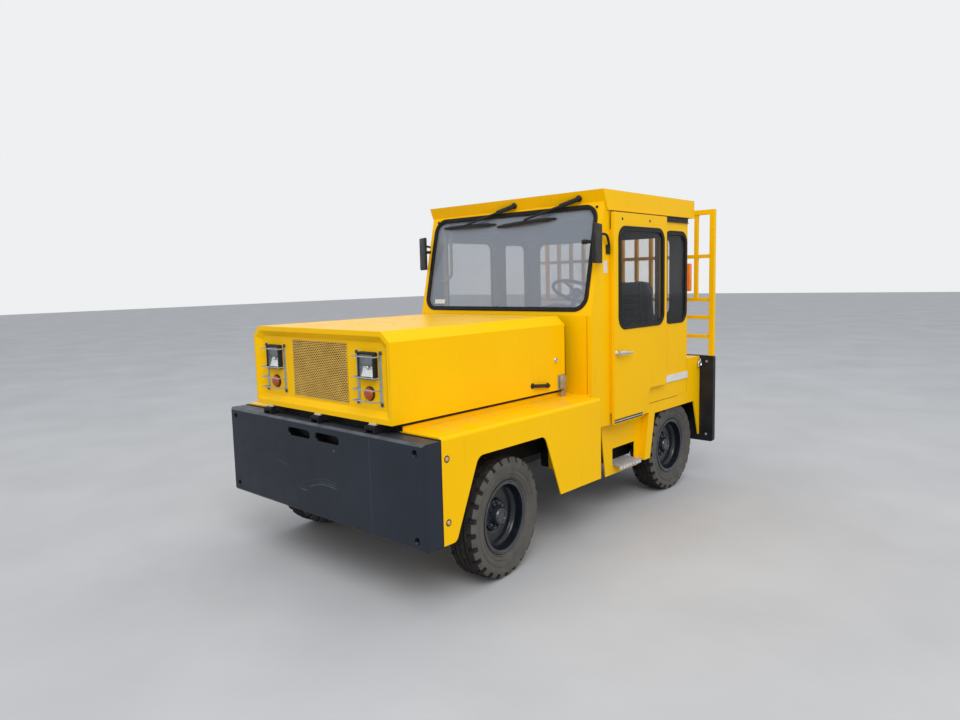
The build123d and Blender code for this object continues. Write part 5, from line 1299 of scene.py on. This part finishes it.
def sewn(x, edge, dish, along, channels, half):
    """Depth below the flat pad: a dish between the bolsters, cross channels and the bolsters' seams."""
    cut = groove(abs(x) - edge, 0.05, 0.014)
    if abs(x) < edge:
        cut = max(cut, max(groove(along - at, half, half) for at in channels))
    return dish * (1 - min(1.0, abs(x) / edge) ** 4) + cut


def seat_channels(co, lo, hi):
    """Cross channels and side bolsters on the seat."""
    top = hi.z - 0.03
    if co.z > top:
        x = (co.x - (lo.x + hi.x) / 2) / ((hi.x - lo.x) / 2)
        channels = [lo.y + (hi.y - lo.y) / 5 * k for k in range(1, 5)]
        co.z -= sewn(x, 0.62, 0.018, co.y, channels, 0.012) * min(1.0, (co.z - top) / 0.02)
    return co


def back_channels(co, lo, hi):
    """Cross channels on the face of the backrest, with bolsters and a crowned top."""
    mid = (lo.x + hi.x) / 2
    x = (co.x - mid) / ((hi.x - lo.x) / 2)
    rise = (co.z - lo.z) / (hi.z - lo.z)
    co.x = mid + (co.x - mid) * (1.0 - 0.10 * max(0.0, rise - 0.55) / 0.45)
    front = lo.y + 0.03
    if co.y < front:
        channels = [lo.z + (hi.z - lo.z) * (0.10 + 0.098 * k) for k in range(1, 8)]
        co.y += sewn(x, 0.66, 0.016, co.z, channels, 0.011) * min(1.0, (front - co.y) / 0.02)
    return co


# Inside the cab
RAIL_X, WALL_X = 0.762, 0.806
COWL_X, COWL_FOOT, COWL_HALF, COWL_HIGH = 0.405, 1.500, 0.155, 0.085
WHEEL_Y, WHEEL_Z, WHEEL_TILT = 2.200, 1.665, math.radians(28)
PAD = ((0.0, 0.040), (0.008, 0.039), (0.014, 0.032), (0.016, 0.018))


def cab_inside():
    # grab rail on the far front pillar, and the frame strips beside both doors
    bm = bmesh.new()
    path = (
        (WALL_X, 1.930, 1.772), (RAIL_X, 1.930, 1.772), (RAIL_X, 2.009, 1.815), (RAIL_X, 2.009, 2.205),
        (WALL_X, 2.004, 2.205),
    )
    add_tube(bm, arc_points([spot(-1, *p) for p in path], 0.030, 6), 0.0135, 14)
    add_piece("grab_rail", bm, GRAB, "chassis")
    bm = bmesh.new()
    for _, s in SIDES:
        add_box(bm, spot(s, 0.8045, 1.9715, 1.8800), (0.009, 0.046, 0.650), 0.002, 2)
    add_piece("pillar_strips", bm, GRAB, "chassis", smooth=0)
    bm = bmesh.new()
    add_box(bm, spot(0, 0, 2.535, 2.2945), (1.596, 1.16, 0.010), 0.003, 2)
    add_piece("roof_lining", bm, HEADLINER, smooth=0)
    # instrument cowl on the dash, with dials that face the driver
    bm = bmesh.new()
    rows = []
    for i in range(19):
        a = math.pi * i / 18
        x, h = COWL_X + COWL_HALF * math.cos(a), COWL_HIGH * math.sin(a) ** 0.7
        ends = spot(1, x, 1.800, COWL_FOOT + h * 0.85), spot(1, x, 1.960, COWL_FOOT + h)
        rows.append([bm.verts.new(p) for p in ends])
    join_rows(bm, rows)
    bm.faces.new([r[0] for r in rows])
    bm.faces.new([r[1] for r in reversed(rows)])
    add_piece("instrument_cowl", bm, DASH, smooth=50)
    bm = bmesh.new()
    for dx, r in ((-0.062, 0.038), (0.062, 0.038), (0.0, 0.020)):
        dial = ((0.0, r), (0.004, r * 0.98), (0.004, r * 0.88), (0.001, r * 0.86))
        add_lathe(bm, basis(spot(1, COWL_X + dx, 1.9605, 1.540), (-1, 0, 0), UP), dial, 28, cap_mat=1)
    add_piece("dials", bm, [PLASTIC, WHITE])
    # horn pad on the steering wheel's boss
    axis = Vector((0, math.sin(WHEEL_TILT), math.cos(WHEEL_TILT)))
    place = basis(spot(1, COWL_X, WHEEL_Y, WHEEL_Z) + axis * 0.0065, ACROSS, axis.cross(Vector(ACROSS)))
    bm = bmesh.new()
    add_lathe(bm, place, PAD, 28, cap_mat=0)
    add_piece("horn_pad", bm, PLASTIC)


def seams():
    """Thin dark joints where sheets meet."""
    bm = bmesh.new()
    for _, s in SIDES:
        add_box(bm, spot(s, 0.8483, 2.765, 0.7825), (0.0010, 0.464, 0.0030))
        add_box(bm, spot(s, 0.8150, 1.7228, 1.2370), (0.0022, 0.0010, 0.550))
    add_piece("panel_joints", bm, BLACK, "chassis", smooth=0)


# Stage
def world_light():
    """Soft sky light, with a plain pale backdrop where the camera, glass or a reflection looks at it."""
    world = bpy.data.worlds.new("studio")
    bpy.context.scene.world = world
    world.use_nodes = True
    nt = world.node_tree
    nt.nodes.clear()

    def node(kind, *sources, **props):
        n = nt.nodes.new(kind)
        for k, v in props.items():
            setattr(n, k, v)
        for socket, source in zip(n.inputs, sources):
            if isinstance(source, bpy.types.NodeSocket):
                nt.links.new(source, socket)
            else:
                socket.default_value = source
        return n.outputs

    ray = node("ShaderNodeLightPath")
    seen = node("ShaderNodeMath", ray["Is Camera Ray"], ray["Is Glossy Ray"], operation="MAXIMUM")
    seen = node("ShaderNodeMath", seen[0], ray["Is Transmission Ray"], operation="MAXIMUM")
    light = node("ShaderNodeBackground", (0.92, 0.96, 1.0, 1), 0.80)
    back = node("ShaderNodeBackground", (0.86, 0.87, 0.88, 1), 1.0)
    mix = node("ShaderNodeMixShader", seen[0], light[0], back[0])
    node("ShaderNodeOutputWorld", mix[0])


def area(name, at, aim, size, power, colour):
    """Square area light that looks from at to aim."""
    data = bpy.data.lights.new(name, "AREA")
    data.shape = "RECTANGLE"
    data.size, data.size_y = size, size
    data.energy = power
    data.color = colour
    o = bpy.data.objects.new(name, data)
    bpy.context.scene.collection.objects.link(o)
    o.location = at
    o.rotation_euler = (Vector(aim) - Vector(at)).to_track_quat("-Z", "Y").to_euler()


def stage():
    bm = bmesh.new()
    bmesh.ops.create_grid(bm, x_segments=2, y_segments=2, size=60)
    mesh = bpy.data.meshes.new("floor")
    bm.to_mesh(mesh)
    bm.free()
    mesh.materials.append(asphalt_pale())
    floor = bpy.data.objects.new("floor", mesh)
    bpy.context.scene.collection.objects.link(floor)
    world_light()
    area("sky_left", (8.5, -7.2, 10.2), (0, -0.3, 0.8), 8.0, 930, (1.0, 0.99, 0.97))
    area("sky_top", (0.0, 0.5, 14.0), (0, 0, 0), 12.0, 350, (0.96, 0.98, 1.0))


# Camera, solved from the photograph's straight edges
YAW, PITCH, ROLL = 0.73999, 0.11149, -0.02455
FOCAL_PIXELS, PICTURE_WIDE, SENSOR = 715.9388, 960.0, 36.0


def camera():
    fwd = Vector((-math.sin(YAW) * math.cos(PITCH), math.cos(YAW) * math.cos(PITCH), -math.sin(PITCH)))
    level = Vector((math.cos(YAW), math.sin(YAW), 0))
    upright = level.cross(fwd)
    right = level * math.cos(ROLL) + upright * math.sin(ROLL)
    up = upright * math.cos(ROLL) - level * math.sin(ROLL)
    data = bpy.data.cameras.new("photo_camera")
    data.sensor_width = SENSOR
    data.lens = FOCAL_PIXELS * SENSOR / PICTURE_WIDE
    data.clip_end = 200
    cam = bpy.data.objects.new("photo_camera", data)
    bpy.context.scene.collection.objects.link(cam)
    m = Matrix((right, up, -fwd)).transposed().to_4x4()
    m.translation = spot(1, 3.60546, -2.44021, 1.7771)
    cam.matrix_world = m
    bpy.context.scene.camera = cam


add_wheels()
gaskets()
expanded_grille()
lamps()
hood_fittings()
fasteners()
door_fittings()
blank_plate()
windshield_marks()
wipers()
mirrors()
treads()
rear_corner()
cushion("seat_pad", "seat_cushion", (0.95, 0.96, 0.88), seat_channels)
cushion("backrest_pad", "seat_back", (1.0, 0.96, 1.0), back_channels)
cab_inside()
seams()
stage()
camera()

bpy.context.scene.view_settings.view_transform = "Standard"
